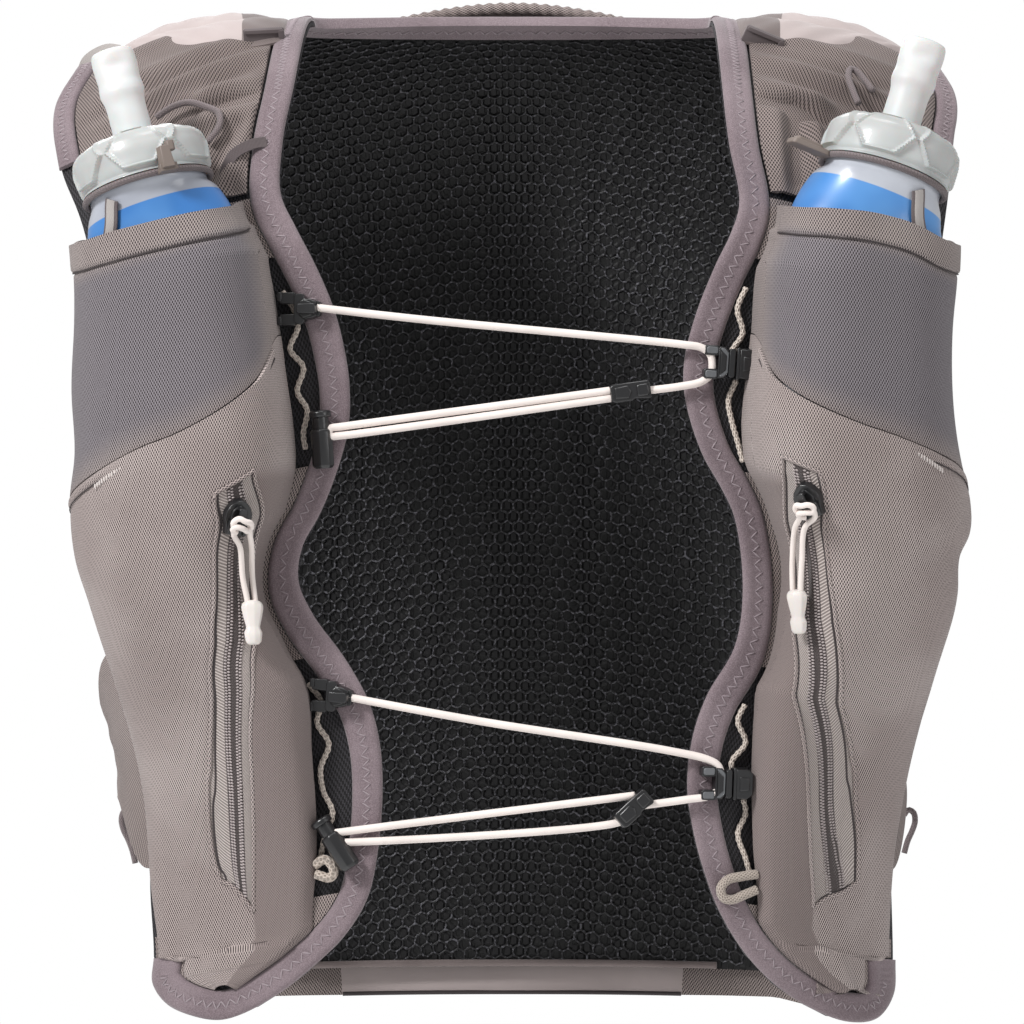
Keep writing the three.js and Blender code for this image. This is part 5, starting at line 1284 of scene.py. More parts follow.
for side, front in FRONTS.items():
    surface, relief = cover_surface(front)
    cloth(f"Strap_cover_{side}", surface, shares(90), shares(150), POCKET_BASE, KNIT_WALL,
          COVER_KNIT, relief=relief, nodes=[f"strap_cover_{side}"], slot="knit_taupe",
          rests_on=[f"Front_lining_{side}"])

    def yoke_front(u, v, lift):
        x = 90 + (front.line("outer", 12) - ARMHOLE_BINDING_WIDTH - 1 - 90) * u
        return on_body(front.sign * x, -(0.5 + (YOKE_LINE(x) + 3 - 0.5) * v), lift)

    def puffed(u, v):
        soft = 0.7 * np.sin(19 * u + 5 * v) * np.sin(11 * v + 7 * u)
        return (2.3 + 4.5 * np.sin(math.pi * np.clip(v, 0, 1)) ** 0.8 + soft) * hump(u) ** 0.4

    for name, start, end, stuff, slot in (("Yoke_front", YOKE_SEAM, 1, WOVEN, "woven_pale"),
                                          ("Yoke_front_end", 0, YOKE_SEAM, WOVEN_DARK,
                                           "knit_taupe")):
        cloth(f"{name}_{side}", lambda u, v, lift: yoke_front(start + (end - start) * u, v, lift),
              shares(50), shares(50), POCKET_BASE, WOVEN_WALL, stuff,
              relief=lambda u, v: puffed(start + (end - start) * u, v), slot=slot,
              held="gathered")

# Neck binding

NECK_EDGE = [
    (0.462, 0), (0.457, 0.15), (0.43, 0.31), (0.377, 0.47), (0.286, 0.67), (0.171, 0.86),
    (0.086, 0.96), (0, 1),
]
NECK_DIP = 40


def neck_path():
    half = [(x * HALF_WIDTH, run * NECK_DIP) for x, run in NECK_EDGE]
    return half + [(-x, run) for x, run in half[-2::-1]]


path = neck_path()
path[0], path[-1] = ((x, run + SEAM_GAP) for x, run in (path[0], path[-1]))
line = binding("Neck_binding", path, BINDING_WIDTH, 1, BACK_WALL, 0, 260, 17, front=1,
               nodes=["neck_binding"])
zigzag("Neck_seam", line, 1, -0.2, front=1)

# Back mesh: a net over a dark cloth

BACK_HALF = [
    (0, 0.985), (0.08, 0.95), (0.2, 0.8), (0.3, 0.74), (0.45, 0.74), (0.6, 0.8), (0.7, 0.84),
    (0.8, 0.84), (0.9, 0.8), (1, 0.74),
]
BACK_READ = table(BACK_HALF)


def back_half(run):
    return BACK_READ(drop_of(run) / BACK_DROP) * HALF_WIDTH


def back_bottom(x, below):
    level = float(shoulder_line(BACK_LOW_X)) - BACK_DROP
    line = np.minimum(shoulder_line(x) - BACK_DROP + 6, level)
    low = np.where(np.abs(x) > BACK_LOW_X, line, level)
    return run_of(shoulder_line(x) - low + below)


even, way, _ = follow(neck_path(), 160)
NECK_LINE = even + aside(way) * (BINDING_WIDTH + 3 * SEAM_GAP)
NECK_LINE = NECK_LINE[NECK_LINE[:, 1] > SEAM_GAP]
TOP_LINE = np.vstack([[float(back_half(0)), SEAM_GAP], NECK_LINE,
                      [-float(back_half(0)), SEAM_GAP]])
TOP_REACH = np.r_[0, np.cumsum(np.linalg.norm(np.diff(TOP_LINE, axis=0), axis=1))]


def back_surface(u, v, lift):
    at = u * TOP_REACH[-1]
    x0, run0 = (np.interp(at, TOP_REACH, TOP_LINE[:, k]) for k in (0, 1))
    bottom = back_bottom((1 - 2 * u) * back_half(run_of(BACK_DROP)), 0)
    run = run0 + (bottom - run0) * v
    share = x0 / back_half(run0)
    share = share + (1 - 2 * u - share) * smoothstep(v, 0, 0.5)
    return on_body(share * back_half(run), run, lift)


cloth("Back_cloth", back_surface, shares(70), shares(110), 1.0, BACK_WALL - 1.0, BLACK_BACK,
      nodes=["back_mesh"], slot="mesh_black")

NET_PITCH = 5.3
NET_REACH = 132


def honeycomb():
    """Corners and edges of the net, and their places on the inner face of the back."""
    corner = NET_PITCH / math.sqrt(3)
    rows = int(480 / (1.5 * corner))
    columns = int(2 * NET_REACH / NET_PITCH) + 1
    seen, points, edges = {}, [], set()

    def corner_at(x, run):
        key = (round(x * 20), round(run * 20))
        if key not in seen:
            seen[key] = len(points)
            points.append((x, run))
        return seen[key]

    for j in range(rows):
        for i in range(columns):
            x = -NET_REACH + NET_PITCH * (i + 0.5 * (j % 2))
            run = 16 + 1.5 * corner * j
            around = [corner_at(x + corner * math.sin(a), run + corner * math.cos(a))
                      for a in np.arange(6) * math.pi / 3]
            edges |= {tuple(sorted(pair)) for pair in zip(around, around[1:] + around[:1])}
    points = np.array(points)
    neck_run = np.interp(np.abs(points[:, 0]), np.sort(np.abs(NECK_LINE[:, 0])),
                         NECK_LINE[np.argsort(np.abs(NECK_LINE[:, 0])), 1])
    neck_run = np.where(np.abs(points[:, 0]) > np.abs(NECK_LINE[:, 0]).max(), 1.5, neck_run)
    inside = (points[:, 1] > neck_run + 0.6) \
        & (points[:, 1] < back_bottom(points[:, 0], -1.5)) \
        & (np.abs(points[:, 0]) < back_half(points[:, 1]) - 2)
    kept = {old: new for new, old in enumerate(np.flatnonzero(inside))}
    edges = [(kept[a], kept[b]) for a, b in edges if a in kept and b in kept]
    flat = points[inside]
    return on_body(flat[:, 0], flat[:, 1], 0.55), edges


net_points, net_edges = honeycomb()
grown("Back_net", STRANDS, net_points, net_edges, {}, {"Thickness": 1.15}, BLACK_NET)

# Shoulder yokes, side wings and the back pouch

YOKE_INNER, YOKE_OUTER, YOKE_END, YOKE_RISE = 0.535, 0.93, 70, 17


def yoke_surface(sign, start, end):
    def surface(u, v, lift):
        u = start + (end - start) * u
        run = 2 * SEAM_GAP + (YOKE_END - 2 * SEAM_GAP) * v
        outer = np.minimum(YOKE_OUTER * HALF_WIDTH, back_half(run) - SEAM_GAP)
        x = YOKE_INNER * HALF_WIDTH + (outer - YOKE_INNER * HALF_WIDTH) * u
        return on_body(sign * x, run, lift)

    def relief(u, v):
        u = start + (end - start) * u
        rise = YOKE_RISE * hump(v) ** 0.8 * hump(u) ** 0.4
        crease = 0.9 * np.sin(u * 23 + v * 6) * np.sin(v * 17 + u * 9)
        return rise + crease * hump(u) * hump(v)

    return surface, relief


for side, sign in SIDES.items():
    surface, relief = yoke_surface(sign, YOKE_SEAM, 1)
    cloth(f"Shoulder_yoke_{side}", surface, shares(60), shares(70), BACK_WALL + SEAM_GAP,
          WOVEN_WALL, WOVEN, relief=relief, nodes=[f"shoulder_yoke_{side}"], slot="woven_pale",
          held="gathered")
    surface, relief = yoke_surface(sign, 0, YOKE_SEAM)
    cloth(f"Yoke_end_{side}", surface, shares(20), shares(70), BACK_WALL + SEAM_GAP + 0.1,
          WOVEN_WALL, WOVEN_DARK, relief=relief, slot="knit_taupe", held="gathered")

POUCH_HALF_WIDTH, POUCH_CENTRE_HALF_WIDTH = 132, 73
POUCH_DEPTH, POUCH_BELOW_MESH, POUCH_TOP = 26, 12, 55
POUCH_READ = table([(0, 0.5), (0.12, 0.85), (0.35, 1), (0.7, 0.95), (0.88, 0.6), (0.97, 0.2),
                    (1, 0)])


def pouch_lift(x, down):
    across = np.cos(math.pi / 2 * np.minimum(1, np.abs(x) / POUCH_HALF_WIDTH))
    return BACK_WALL + 2 * SEAM_GAP + POUCH_DEPTH * np.maximum(across, 0) ** 0.6 \
        * POUCH_READ(down)


def pouch_surface(start, end, top):
    def surface(u, v, lift):
        x = start + (end - start) * u
        bottom = back_bottom(x, POUCH_BELOW_MESH)
        run = top + (bottom - top) * v
        reach = np.minimum(1, (back_half(run) - 2) / POUCH_HALF_WIDTH)
        far = POUCH_CENTRE_HALF_WIDTH + (np.abs(x) - POUCH_CENTRE_HALF_WIDTH) * (
            POUCH_HALF_WIDTH * reach - POUCH_CENTRE_HALF_WIDTH) / (
            POUCH_HALF_WIDTH - POUCH_CENTRE_HALF_WIDTH)
        narrowed = np.sign(x) * np.where(
            np.abs(x) > POUCH_CENTRE_HALF_WIDTH + SEAM_GAP, far, np.abs(x))
        down = (run - POUCH_TOP) / (bottom - POUCH_TOP)
        return on_body(narrowed, run, pouch_lift(x, down) + lift)

    return surface


def wrinkles(size, depth, bend):
    """Soft wrinkles that fade at the edges of a cloth."""
    def relief(u, v):
        waves = np.sin(size * u + bend * v) * np.sin(0.7 * size * v - bend * u + 1) \
            + 0.5 * np.sin(1.9 * size * v + bend * u * 2 + 2)
        return depth * (hump(u) * hump(v)) ** 0.6 * waves

    return relief


cloth("Pouch_centre", pouch_surface(-POUCH_CENTRE_HALF_WIDTH, POUCH_CENTRE_HALF_WIDTH,
                                    POUCH_TOP),
      shares(90), shares(120), 0, WOVEN_WALL, WOVEN, relief=wrinkles(13, 0.8, 4),
      nodes=["pouch_centre"], slot="woven_pale")
for side, sign in SIDES.items():
    cloth(f"Pouch_side_{side}", pouch_surface(sign * (POUCH_CENTRE_HALF_WIDTH - SEAM_GAP),
                                              sign * POUCH_HALF_WIDTH, YOKE_END + 2 * SEAM_GAP),
          shares(50), shares(120), 0, WOVEN_WALL, KNIT, relief=wrinkles(9, 0.7, 3),
          nodes=[f"pouch_side_{side}"], slot="knit_taupe")

RIM_HALF_LENGTH, RIM_DIAMETER, RIM_GATHERS = 48, 5.5, 22
rim_x = np.linspace(RIM_HALF_LENGTH, -RIM_HALF_LENGTH, RIM_GATHERS * 8 + 1)
rim_run = POUCH_TOP - RIM_DIAMETER / 2 + FIT_GAP
rim = on_body(rim_x, rim_run, pouch_lift(rim_x, 0))
angles = np.linspace(0, 2 * math.pi, 14, endpoint=False)
gather = 0.88 + 0.12 * np.cos(np.arange(len(rim_x)) * 2 * math.pi / 8)
rings = rim[:, None] + RIM_DIAMETER / 2 * gather[:, None, None] * np.stack(
    np.broadcast_arrays(0 * angles, np.cos(angles), np.sin(angles)), axis=-1)[None]
rings_object("Gathered_rim", rings, KNIT, nodes=["gathered_rim"], slot="knit_taupe")

WING_TOP = table([(0, 0.6), (0.35, 0.655), (0.65, 0.65), (1, 0.6)])
WING_BOTTOM = table([(0, 0.83), (0.35, 0.76), (0.65, 0.77), (1, 0.84)])
WING_GAP = {"left": 0.75, "right": 0.4}


def wing_surface(front):
    def form(a, drop):
        half = body_half(drop)
        angle = a / 100
        x = half * np.cos(angle) ** (2 / BODY_SQUARENESS)
        y = BODY_HALF_DEPTH * np.sign(angle) * np.abs(np.sin(angle)) ** (2 / BODY_SQUARENESS)
        return np.stack([front.sign * x, y, shoulder_line(x) - drop], axis=-1)

    def surface(u, v, lift):
        top, bottom = WING_TOP(u), WING_BOTTOM(u)
        drop = FRONT_DROP * (top + (bottom - top) * v)
        run = run_of(drop)
        half = body_half(drop)
        first = -np.arccos(((front.line("lining_out", run) + WING_GAP[front.side]) / half)
                           ** (BODY_SQUARENESS / 2))
        last = np.arccos(((back_half(run) - 1) / half) ** (BODY_SQUARENESS / 2))
        return lifted(form, (first + (last - first) * u) * 100, drop, lift)

    return surface


for side, front in FRONTS.items():
    cloth(f"Side_wing_{side}", wing_surface(front), shares(80), shares(50), 0, KNIT_WALL, KNIT,
          relief=wrinkles(12, 0.4, 5), nodes=[f"side_wing_{side}"], slot="knit_taupe")

# Pockets

EDGE_LOW = 0.004
POCKET_END = 0.957
PLUMB_LINE = 0.72 * HALF_WIDTH


def edge_shares(count):
    """Shares of the arch from edge to edge, close together where it turns down."""
    t = np.linspace(-1, 1, count)
    return 0.5 + 0.5 * np.sign(t) * (1 - (1 - np.abs(t)) ** 1.6)


def arch_share(u):
    return EDGE_LOW + (1 - 2 * EDGE_LOW) * u


def flask_pocket_surface(front):
    def surface(u, v, lift):
        across = arch_share(u)
        top = front.mouth(across)
        run = top + (front.slanted(across) - SEAM_GAP - top) * v
        return front.on_pocket(across, run, lift)

    def relief(u, v):
        across = arch_share(u)
        top = front.mouth(across)
        down = (front.slanted(across) - SEAM_GAP - top) * v
        hem = 0.9 * smoothstep(down, HEM_HEIGHT + 0.6, HEM_HEIGHT - 0.8)
        seam = -0.6 * np.exp(-((down - HEM_HEIGHT - 0.4) / 0.7) ** 2)
        soft = 0.6 * np.sin(4 * u + 5 * v) * hump(u) ** 0.5 * smoothstep(v, 0.15, 0.4)
        return hem + seam + soft

    return surface, relief


def zip_pocket_surface(front):
    end = float(front_run(POCKET_END))

    def surface(u, v, lift):
        across = arch_share(u)
        top = front.slanted(across)
        return front.on_pocket(across, top + (end - top) * v, lift)

    def relief(u, v):
        across = arch_share(u)
        top = front.slanted(across)
        down = (end - top) * v
        rolled = 0.9 * np.exp(-((down - 1.6) / 1.3) ** 2) - 0.35 * np.exp(-((down - 4.2) / 1) ** 2)
        drape = 0.8 * np.sin(7 * u + 2 * v) * np.sin(3 * v + 4 * u + 0.5) * smoothstep(v, 0.1, .4)
        opening = ZIPS[front.side].opening(across, top + down)
        around = smoothstep(np.abs(across - 0.38), 0.3, 0.16)
        return (rolled + drape * hump(u) ** 0.5) * (1 - around) \
            + TAPE_SUNK * around * (1 - opening)

    return surface, relief


for side, front in FRONTS.items():
    surface, relief = flask_pocket_surface(front)
    us, vs = edge_shares(110), shares(110)
    u, v = np.meshgrid(us, vs)
    behind = smoothstep(u, 0.06, 0.2) * smoothstep(u, 0.97, 0.86) * smoothstep(v, 0.1, 0.2) \
        * smoothstep(v, 1.05, 0.85)
    across = arch_share(u)
    run = front.mouth(across) + (front.slanted(across) - SEAM_GAP - front.mouth(across)) * v
    uv = grain(surface(u, v, KNIT_WALL), front.sign * PLUMB_LINE, run)
    cloth(f"Flask_pocket_{side}", surface, us, vs, 0, KNIT_WALL, POCKET_KNIT, relief=relief,
          uv=uv, nodes=[f"flask_pocket_{side}"], slot="knit_taupe",
          rests_on=[f"Front_lining_{side}"], groups={"flask_behind": behind})
    surface, relief = zip_pocket_surface(front)
    us, vs = edge_shares(156), shares(200)
    u, v = np.meshgrid(us, vs)
    across = arch_share(u)
    top = front.slanted(across)
    run = top + (float(front_run(POCKET_END)) - top) * v
    uv = grain(surface(u, v, KNIT_WALL), front.sign * PLUMB_LINE, run)
    inner = ZIPS[side].inner(front_share(run))
    panel = smoothstep(across, inner + 0.004, inner - 0.004) * smoothstep(
        front_share(run), 0.45, 0.47)
    cloth(f"Zip_pocket_{side}", surface, us, vs, 0, KNIT_WALL, ZIP_KNIT, relief=relief, uv=uv,
          nodes=[f"zip_pocket_{side}"], slot="knit_taupe",
          rests_on=[f"Front_lining_{side}"], groups={"rib_panel": panel})

# Knit ground beside the pockets, where it meets the binding

GROUND_SPANS = [(0.186, 0.248), (0.46, 0.648), (0.885, 0.955)]
GROUND_LIFT = LINING_WALL + 0.2
for side, front in FRONTS.items():
    for place, (start, end) in zip(("top", "middle", "low"), GROUND_SPANS):
        start, end = (float(front_run(share)) for share in (start, end))

        def ground(u, v, lift):
            run = start + (end - start) * v
            inner = front.line("bound", run) - 0.3
            wide = front.line("seam_in", run) + 9.5 - inner
            return on_body(front.sign * (inner + wide * u), -run, lift)

        us, vs = shares(12), shares(40)
        u, v = np.meshgrid(us, vs)
        uv = grain(ground(u, v, 0), front.sign * PLUMB_LINE, start + (end - start) * v)
        cloth(f"Pocket_ground_{place}_{side}", ground, us, vs, GROUND_LIFT, KNIT_WALL,
              KNIT, uv=uv, slot="knit_taupe", rests_on=[f"Front_lining_{side}"])

    start, end = (float(front_run(share)) for share in (0.9, 0.952))

    def corner(u, v, lift):
        run = start + (end - start) * v
        edge = front.line("seam_out", run) + 2 * KNIT_WALL
        return on_body(front.sign * (edge - 11 * (1 - u)), -run, lift)

    cloth(f"Pocket_ground_corner_{side}", corner, shares(12), shares(20), GROUND_LIFT,
          KNIT_WALL, KNIT, slot="knit_taupe", rests_on=[f"Front_lining_{side}"])

# Zip tapes with their coils, in an opening with a rolled lip and a painted shadow line

LIP_LIFT = KNIT_WALL + 1.2

for side, zipped in ZIPS.items():
    us, vs = shares(30), shares(170)
    cloth(f"Zip_tape_{side}", zipped.surface, 1.04 * us - 0.02, vs, KNIT_WALL + 0.15, 0.7, TAPE,
          nodes=[f"zip_tape_{side}"], slot="knit_taupe")
    down = shares(60)
    ring = np.vstack([zipped.surface(1 + 0 * down, down, LIP_LIFT),
                      zipped.surface(1 - shares(8)[1:-1], 1, LIP_LIFT),
                      zipped.surface(0 * down, 1 - down, LIP_LIFT),
                      zipped.surface(shares(8)[1:-1], 0, LIP_LIFT)])
    tube(f"Zip_lip_{side}", np.vstack([ring, ring[:2]]), 1.7, ZIP_KNIT, slot="knit_taupe")
    # A dark tube along the inner side of the opening: painted shadow where the panel's edge stands
    # over the tape
    shade = np.vstack([zipped.surface(0.93 + 0 * down, down, KNIT_WALL + 0.8),
                       zipped.surface(0.9 - 0.8 * shares(8)[1:-1], 0.995, KNIT_WALL + 0.8),
                       zipped.surface(0.05 + 0 * down, 1 - down, KNIT_WALL + 0.8)])
    tube(f"Zip_shadow_line_{side}", shade, 0.9, THREAD_AND_SHADOW_DARK, slot="knit_taupe")
    middle = zipped.surface(0.5 + 0 * vs, vs, KNIT_WALL + 0.95)
    reach = np.r_[0, np.cumsum(np.linalg.norm(np.diff(middle, axis=0), axis=1))]
    width = np.linalg.norm(zipped.surface(0 * vs, vs, 1) - zipped.surface(1 + 0 * vs, vs, 1),
                           axis=1)
    at = np.arange(2.0, reach[-1] - 2.0, 1.25)
    v = np.interp(at, reach, vs)
    wide = np.interp(at, reach, width)
    starts, ends, outs = [], [], []
    for near, far, slope in ((-3.4, -1.0, 0.55), (1.0, 3.4, -0.55)):
        for nudge in (0, 0.6):
            dv = nudge / reach[-1]
            a = zipped.surface(0.5 + near / wide, v + dv, KNIT_WALL + 1.0)
            b = zipped.surface(0.5 + far / wide, v + dv + slope / reach[-1], KNIT_WALL + 1.0)
            share = (near + far) / 2 / wide + 0.5
            outs.append(zipped.surface(share, v, KNIT_WALL + 2) - zipped.surface(
                share, v, KNIT_WALL + 1))
            starts.append(a if nudge == 0 else a + (b - a) * 0.5)
            ends.append(b if nudge else a + (b - a) * 0.5)
    threads(f"Zip_coil_{side}", np.vstack(starts), np.vstack(ends), np.vstack(outs), 0.8, COIL)

# Sliders: a teardrop body with a raised bridge for the pull

ZIP_LINE = {
    "left": [(0.472, 0.31), (0.52, 0.268), (0.588, 0.265)],
    "right": [(0.451, 0.3), (0.504, 0.262), (0.614, 0.3)],
}
SLIDER_DROP = {"left": 0.497, "right": 0.4755}
TAPE_LIFT = KNIT_WALL + 2.2 * SEAM_GAP
SLIDER_LIFT = TAPE_LIFT + 1.4 + FIT_GAP


def slider_seat(front):
    """A frame on the zip: rows are across, up the zip and outwards."""
    drop = SLIDER_DROP[front.side]
    u, run = float(table(ZIP_LINE[front.side])(drop)), float(front_run(drop))
    origin = front.on_pocket(u, run, SLIDER_LIFT)
    out = front.on_pocket(u, run, SLIDER_LIFT + 1) - origin
    out /= np.linalg.norm(out)
    up = front.on_pocket(u, run - 1, SLIDER_LIFT) - origin
    up -= out * np.dot(up, out)
    up /= np.linalg.norm(up)
    return origin, np.array([np.cross(up, out), up, out])


TEARDROP = [(0, 7.3), (2.2, 6.6), (4.4, 4.6), (5.6, 2.0), (5.7, -0.6), (4.7, -3.4), (4.2, -7.0),
            (3.4, -7.4)]
for side, front in FRONTS.items():
    outline = TEARDROP + [(-x, y) for x, y in TEARDROP[:0:-1]]
    inside = [(x * 0.62, y * 0.66 + 0.2) for x, y in outline]
    merged(f"Zip_slider_{side}", [
        prism(outline, -1.2, 1.7, 0.5), prism(inside, 1.6, 2.3, 0.4),
        block(-1.5, 1.5, 3.2, 4.6, 2.2, 5.4, 0.3), block(-1.5, 1.5, -4.4, -3.0, 2.2, 5.4, 0.3),
        block(-1.5, 1.5, -4.2, 4.4, 4.4, 5.6, 0.4),
        block(-3.9, -2.6, -6.6, -1.0, 1.4, 2.9, 0.3), block(2.6, 3.9, -6.6, -1.0, 1.4, 2.9, 0.3),
    ], BLACK_PLASTIC, slider_seat(front), 0.3, nodes=[f"zip_slider_{side}"], slot="plastic_black")

# Pulls: a loop of cord hitched to the bridge, its ends in a moulded bead

PULL_CORD_DIAMETER = 2.2
PULL_END_LENGTH, PULL_END_DIAMETER, PULL_END_FLATNESS, PULL_GRIP = 17, 8.8, 0.72, 6
BEAD_PROFILE = [(0.5, 0), (0.72, 0.06), (0.8, 0.2), (0.84, 0.27), (0.66, 0.36), (0.66, 0.42),
                (0.86, 0.62), (1.0, 0.8), (1.0, 0.88), (0.86, 0.95), (0.5, 1.0)]

for side, front in FRONTS.items():
    points = np.array(CORD_ROUTES[f"zip_pull_{side}"])
    top = (points[0] + points[-1]) / 2
    across = points[-1] - points[0]
    across /= np.linalg.norm(across)
    axis = (points[1] + points[-2]) / 2 - top
    axis -= across * np.dot(axis, across)
    axis /= np.linalg.norm(axis)
    bead_points, bead_faces = turned(
        [(r * PULL_END_DIAMETER / 2, z * PULL_END_LENGTH) for r, z in BEAD_PROFILE], 8)
    bead = merged(f"Pull_bead_{side}", [(bead_points * [1, PULL_END_FLATNESS, 1], bead_faces)],
                  BEAD,
                  (top + axis * (PULL_GRIP - PULL_END_LENGTH),
                   np.array([across, np.cross(axis, across), axis])),
                  0.35, nodes=[f"zip_pull_end_{side}"], slot="cord_pale")
    made, even, reach = tube(f"Pull_cord_{side}", points, PULL_CORD_DIAMETER, CORD, step=0.7,
                             nodes=[f"zip_pull_{side}"], slot="cord_pale")
    origin, axes = slider_seat(front)
    hitch = [(-2.4, -3.4, 5.6), (-3.6, -0.8, 6.2), (-2.0, 1.2, 7.2), (0.4, 0.6, 8.0),
             (2.6, 0.2, 7.6), (3.9, -1.6, 6.4), (2.8, -3.4, 6.4), (0.2, -2.4, 7.6),
             (-2.6, -2.2, 7.2), (-3.2, -3.8, 6.0), (-1.2, -4.8, 5.8)]
    knot, *_ = tube(f"Pull_hitch_{side}", origin + np.array(hitch) @ axes, PULL_CORD_DIAMETER,
                    CORD, step=0.6, slot="cord_pale")

# Flasks

FLASK_WIDTH, FLASK_THICKNESS = 65, 42
CAP_DIAMETER, CAP_HEIGHT, CAP_WALL = 53, 19, 3
NECK_RADIUS = CAP_DIAMETER / 2 - CAP_WALL - FIT_GAP
NECK_HEIGHT = 12.5
NECK_STEP = FIT_GAP * 2 + ELASTIC_DIAMETER + 0.3
FLASK_LEAN = {"left": 15.5, "right": 18}
FLASK_TIP_BACK = 8
NECK_PLACE = {"left": (-0.805, -0.602, -0.36), "right": (0.822, -0.594, -0.334)}
FLASK_SEAT = 0.55
FLASK_SPINE = [0.53, 0.45, 0.37, 0.3]
FLASK_WIDTHS = table([(0, 0.7), (0.03, 0.86), (0.1, 0.95), (0.22, 0.98), (0.4, 0.99), (0.58, 1),
                      (0.74, 1), (0.86, 0.96), (0.93, 0.86), (0.97, 0.79), (1.0, 0.71)])
FLASK_DEPTHS = table([(0, 0.14), (0.03, 0.46), (0.1, 0.76), (0.22, 0.93), (0.4, 1), (0.58, 1),
                      (0.74, 1), (0.86, 0.93), (0.93, 0.93), (0.97, 0.98), (1.0, 1.06)])
FLASK_TAB_X = {"left": -152, "right": 154}


def neck_frame(side):
    lean, tip = math.radians(FLASK_LEAN[side]), math.radians(FLASK_TIP_BACK)
    up = np.array([SIDES[side] * math.sin(lean) * math.cos(tip), math.sin(tip),
                   math.cos(lean) * math.cos(tip)])
    across = np.array([1, 0, 0]) - up * up[0]
    across /= np.linalg.norm(across)
    return np.array(NECK_PLACE[side]) * HALF_WIDTH, np.array([across, np.cross(up, across), up])


def pocket_centre(front, run):
    middle = front.pocket(50, run)
    a = on_body(front.sign * front.line("seam_in", run), -run, POCKET_BASE)
    b = on_body(front.sign * front.line("seam_out", run), -run, POCKET_BASE)
    foot = (a + b) / 2
    return foot + (middle - foot) * FLASK_SEAT, (b - a) / np.linalg.norm(b - a)


for side, front in FRONTS.items():
    foot, (across, back, up) = neck_frame(side)
    runs = [float(front_run(drop)) for drop in FLASK_SPINE]
    centres = [pocket_centre(front, run)[0] for run in runs]
    spine, way, reach = follow([*centres, foot - up * 24, foot - up * NECK_STEP], 120)
    low = pocket_centre(front, runs[1])[1]
    high = across * front.sign
    share = np.linspace(0, 1, len(spine))
    blend = smoothstep(share, 0.7, 1)[:, None]
    wide = low * (1 - blend) + high * blend
    wide -= way * (wide * way).sum(1, keepdims=True)
    wide /= np.linalg.norm(wide, axis=1, keepdims=True)
    deep = np.cross(way, wide)
    angles = np.linspace(0, 2 * math.pi, 64, endpoint=False)
    half_w = FLASK_WIDTHS(share) * FLASK_WIDTH / 2
    half_d = FLASK_DEPTHS(share) * FLASK_THICKNESS / 2
    rings = spine[:, None] + (half_w[:, None] * np.cos(angles))[..., None] * wide[:, None] \
        + (half_d[:, None] * np.sin(angles))[..., None] * deep[:, None]
    neck = [foot + up * h + NECK_RADIUS * (np.cos(angles)[:, None] * high
                                           + np.sin(angles)[:, None] * np.cross(up, high))
            for h in (-NECK_STEP, -NECK_STEP / 2, NECK_HEIGHT)]
    rings = np.concatenate([rings[:-1], neck])
    down = np.r_[reach - share[:-1] * reach, 0, 0, 0]
    uv = np.stack(np.broadcast_arrays(angles[None] * 25, down[:, None]), axis=-1)
    rings_object(f"Flask_{side}", rings, FILM, uv=uv, nodes=[f"flask_{side}"], slot="film_blue",
                 sharp=60)
    fall = (1 - share[:-1]) * reach
    near = int(np.argmin(np.abs(fall - 10)))
    front_side = np.where(rings[near, :, 1] < spine[near, 1], rings[near, :, 0], 1e3)
    k = int(np.argmin(np.abs(front_side - FLASK_TAB_X[side])))
    rows = np.flatnonzero((fall > 2) & (fall < 26))[::-1]
    outward = rings[rows, k] - spine[rows]
    outward /= np.linalg.norm(outward, axis=1, keepdims=True)
    for name, lift, width, thickness, stuff in (("Flask_tab", 0.7, 6.2, 0.9, WEBBING),
                                                ("Flask_tab_face", 1.2, 3.9, 0.6, PALE_TAPE)):
        ribbon(f"{name}_{side}", rings[rows, k] + outward * lift, outward[0], width, thickness,
               stuff, slot="cord_taupe")

# Caps: a turned cap with raised six-sided frames round it; the valve has an oval mouth

CAP_PROFILE = table([(0, 0.955), (0.08, 0.985), (0.34, 1), (0.62, 0.985), (0.8, 0.93),
                     (0.93, 0.8), (1.0, 0.66)])
FRAME_HALF_ANGLE, FRAME_LOW, FRAME_HIGH = 24, 0.12, 1.05
VALVE_DIAMETER, VALVE_LENGTH = 21, 36


def cap_relief(angle, height):
    """Raised six-sided fields and their rims; angle in degrees from the front."""
    near = (angle + 30) % 60 - 30
    middle = (FRAME_LOW + FRAME_HIGH) / 2
    tall = (FRAME_HIGH - FRAME_LOW) / 2
    x = np.abs(near) / FRAME_HALF_ANGLE
    y = np.abs(height - middle) / tall
    edge = np.maximum(y / 0.98, x * 0.85 + y * 0.5)
    inside = (1 - edge) * 9
    field = smoothstep(inside, -0.5, 0.3)
    rim = np.exp(-((inside - 0.45) / 0.5) ** 4)
    return -1.4 + 0.8 * field + 1.1 * rim


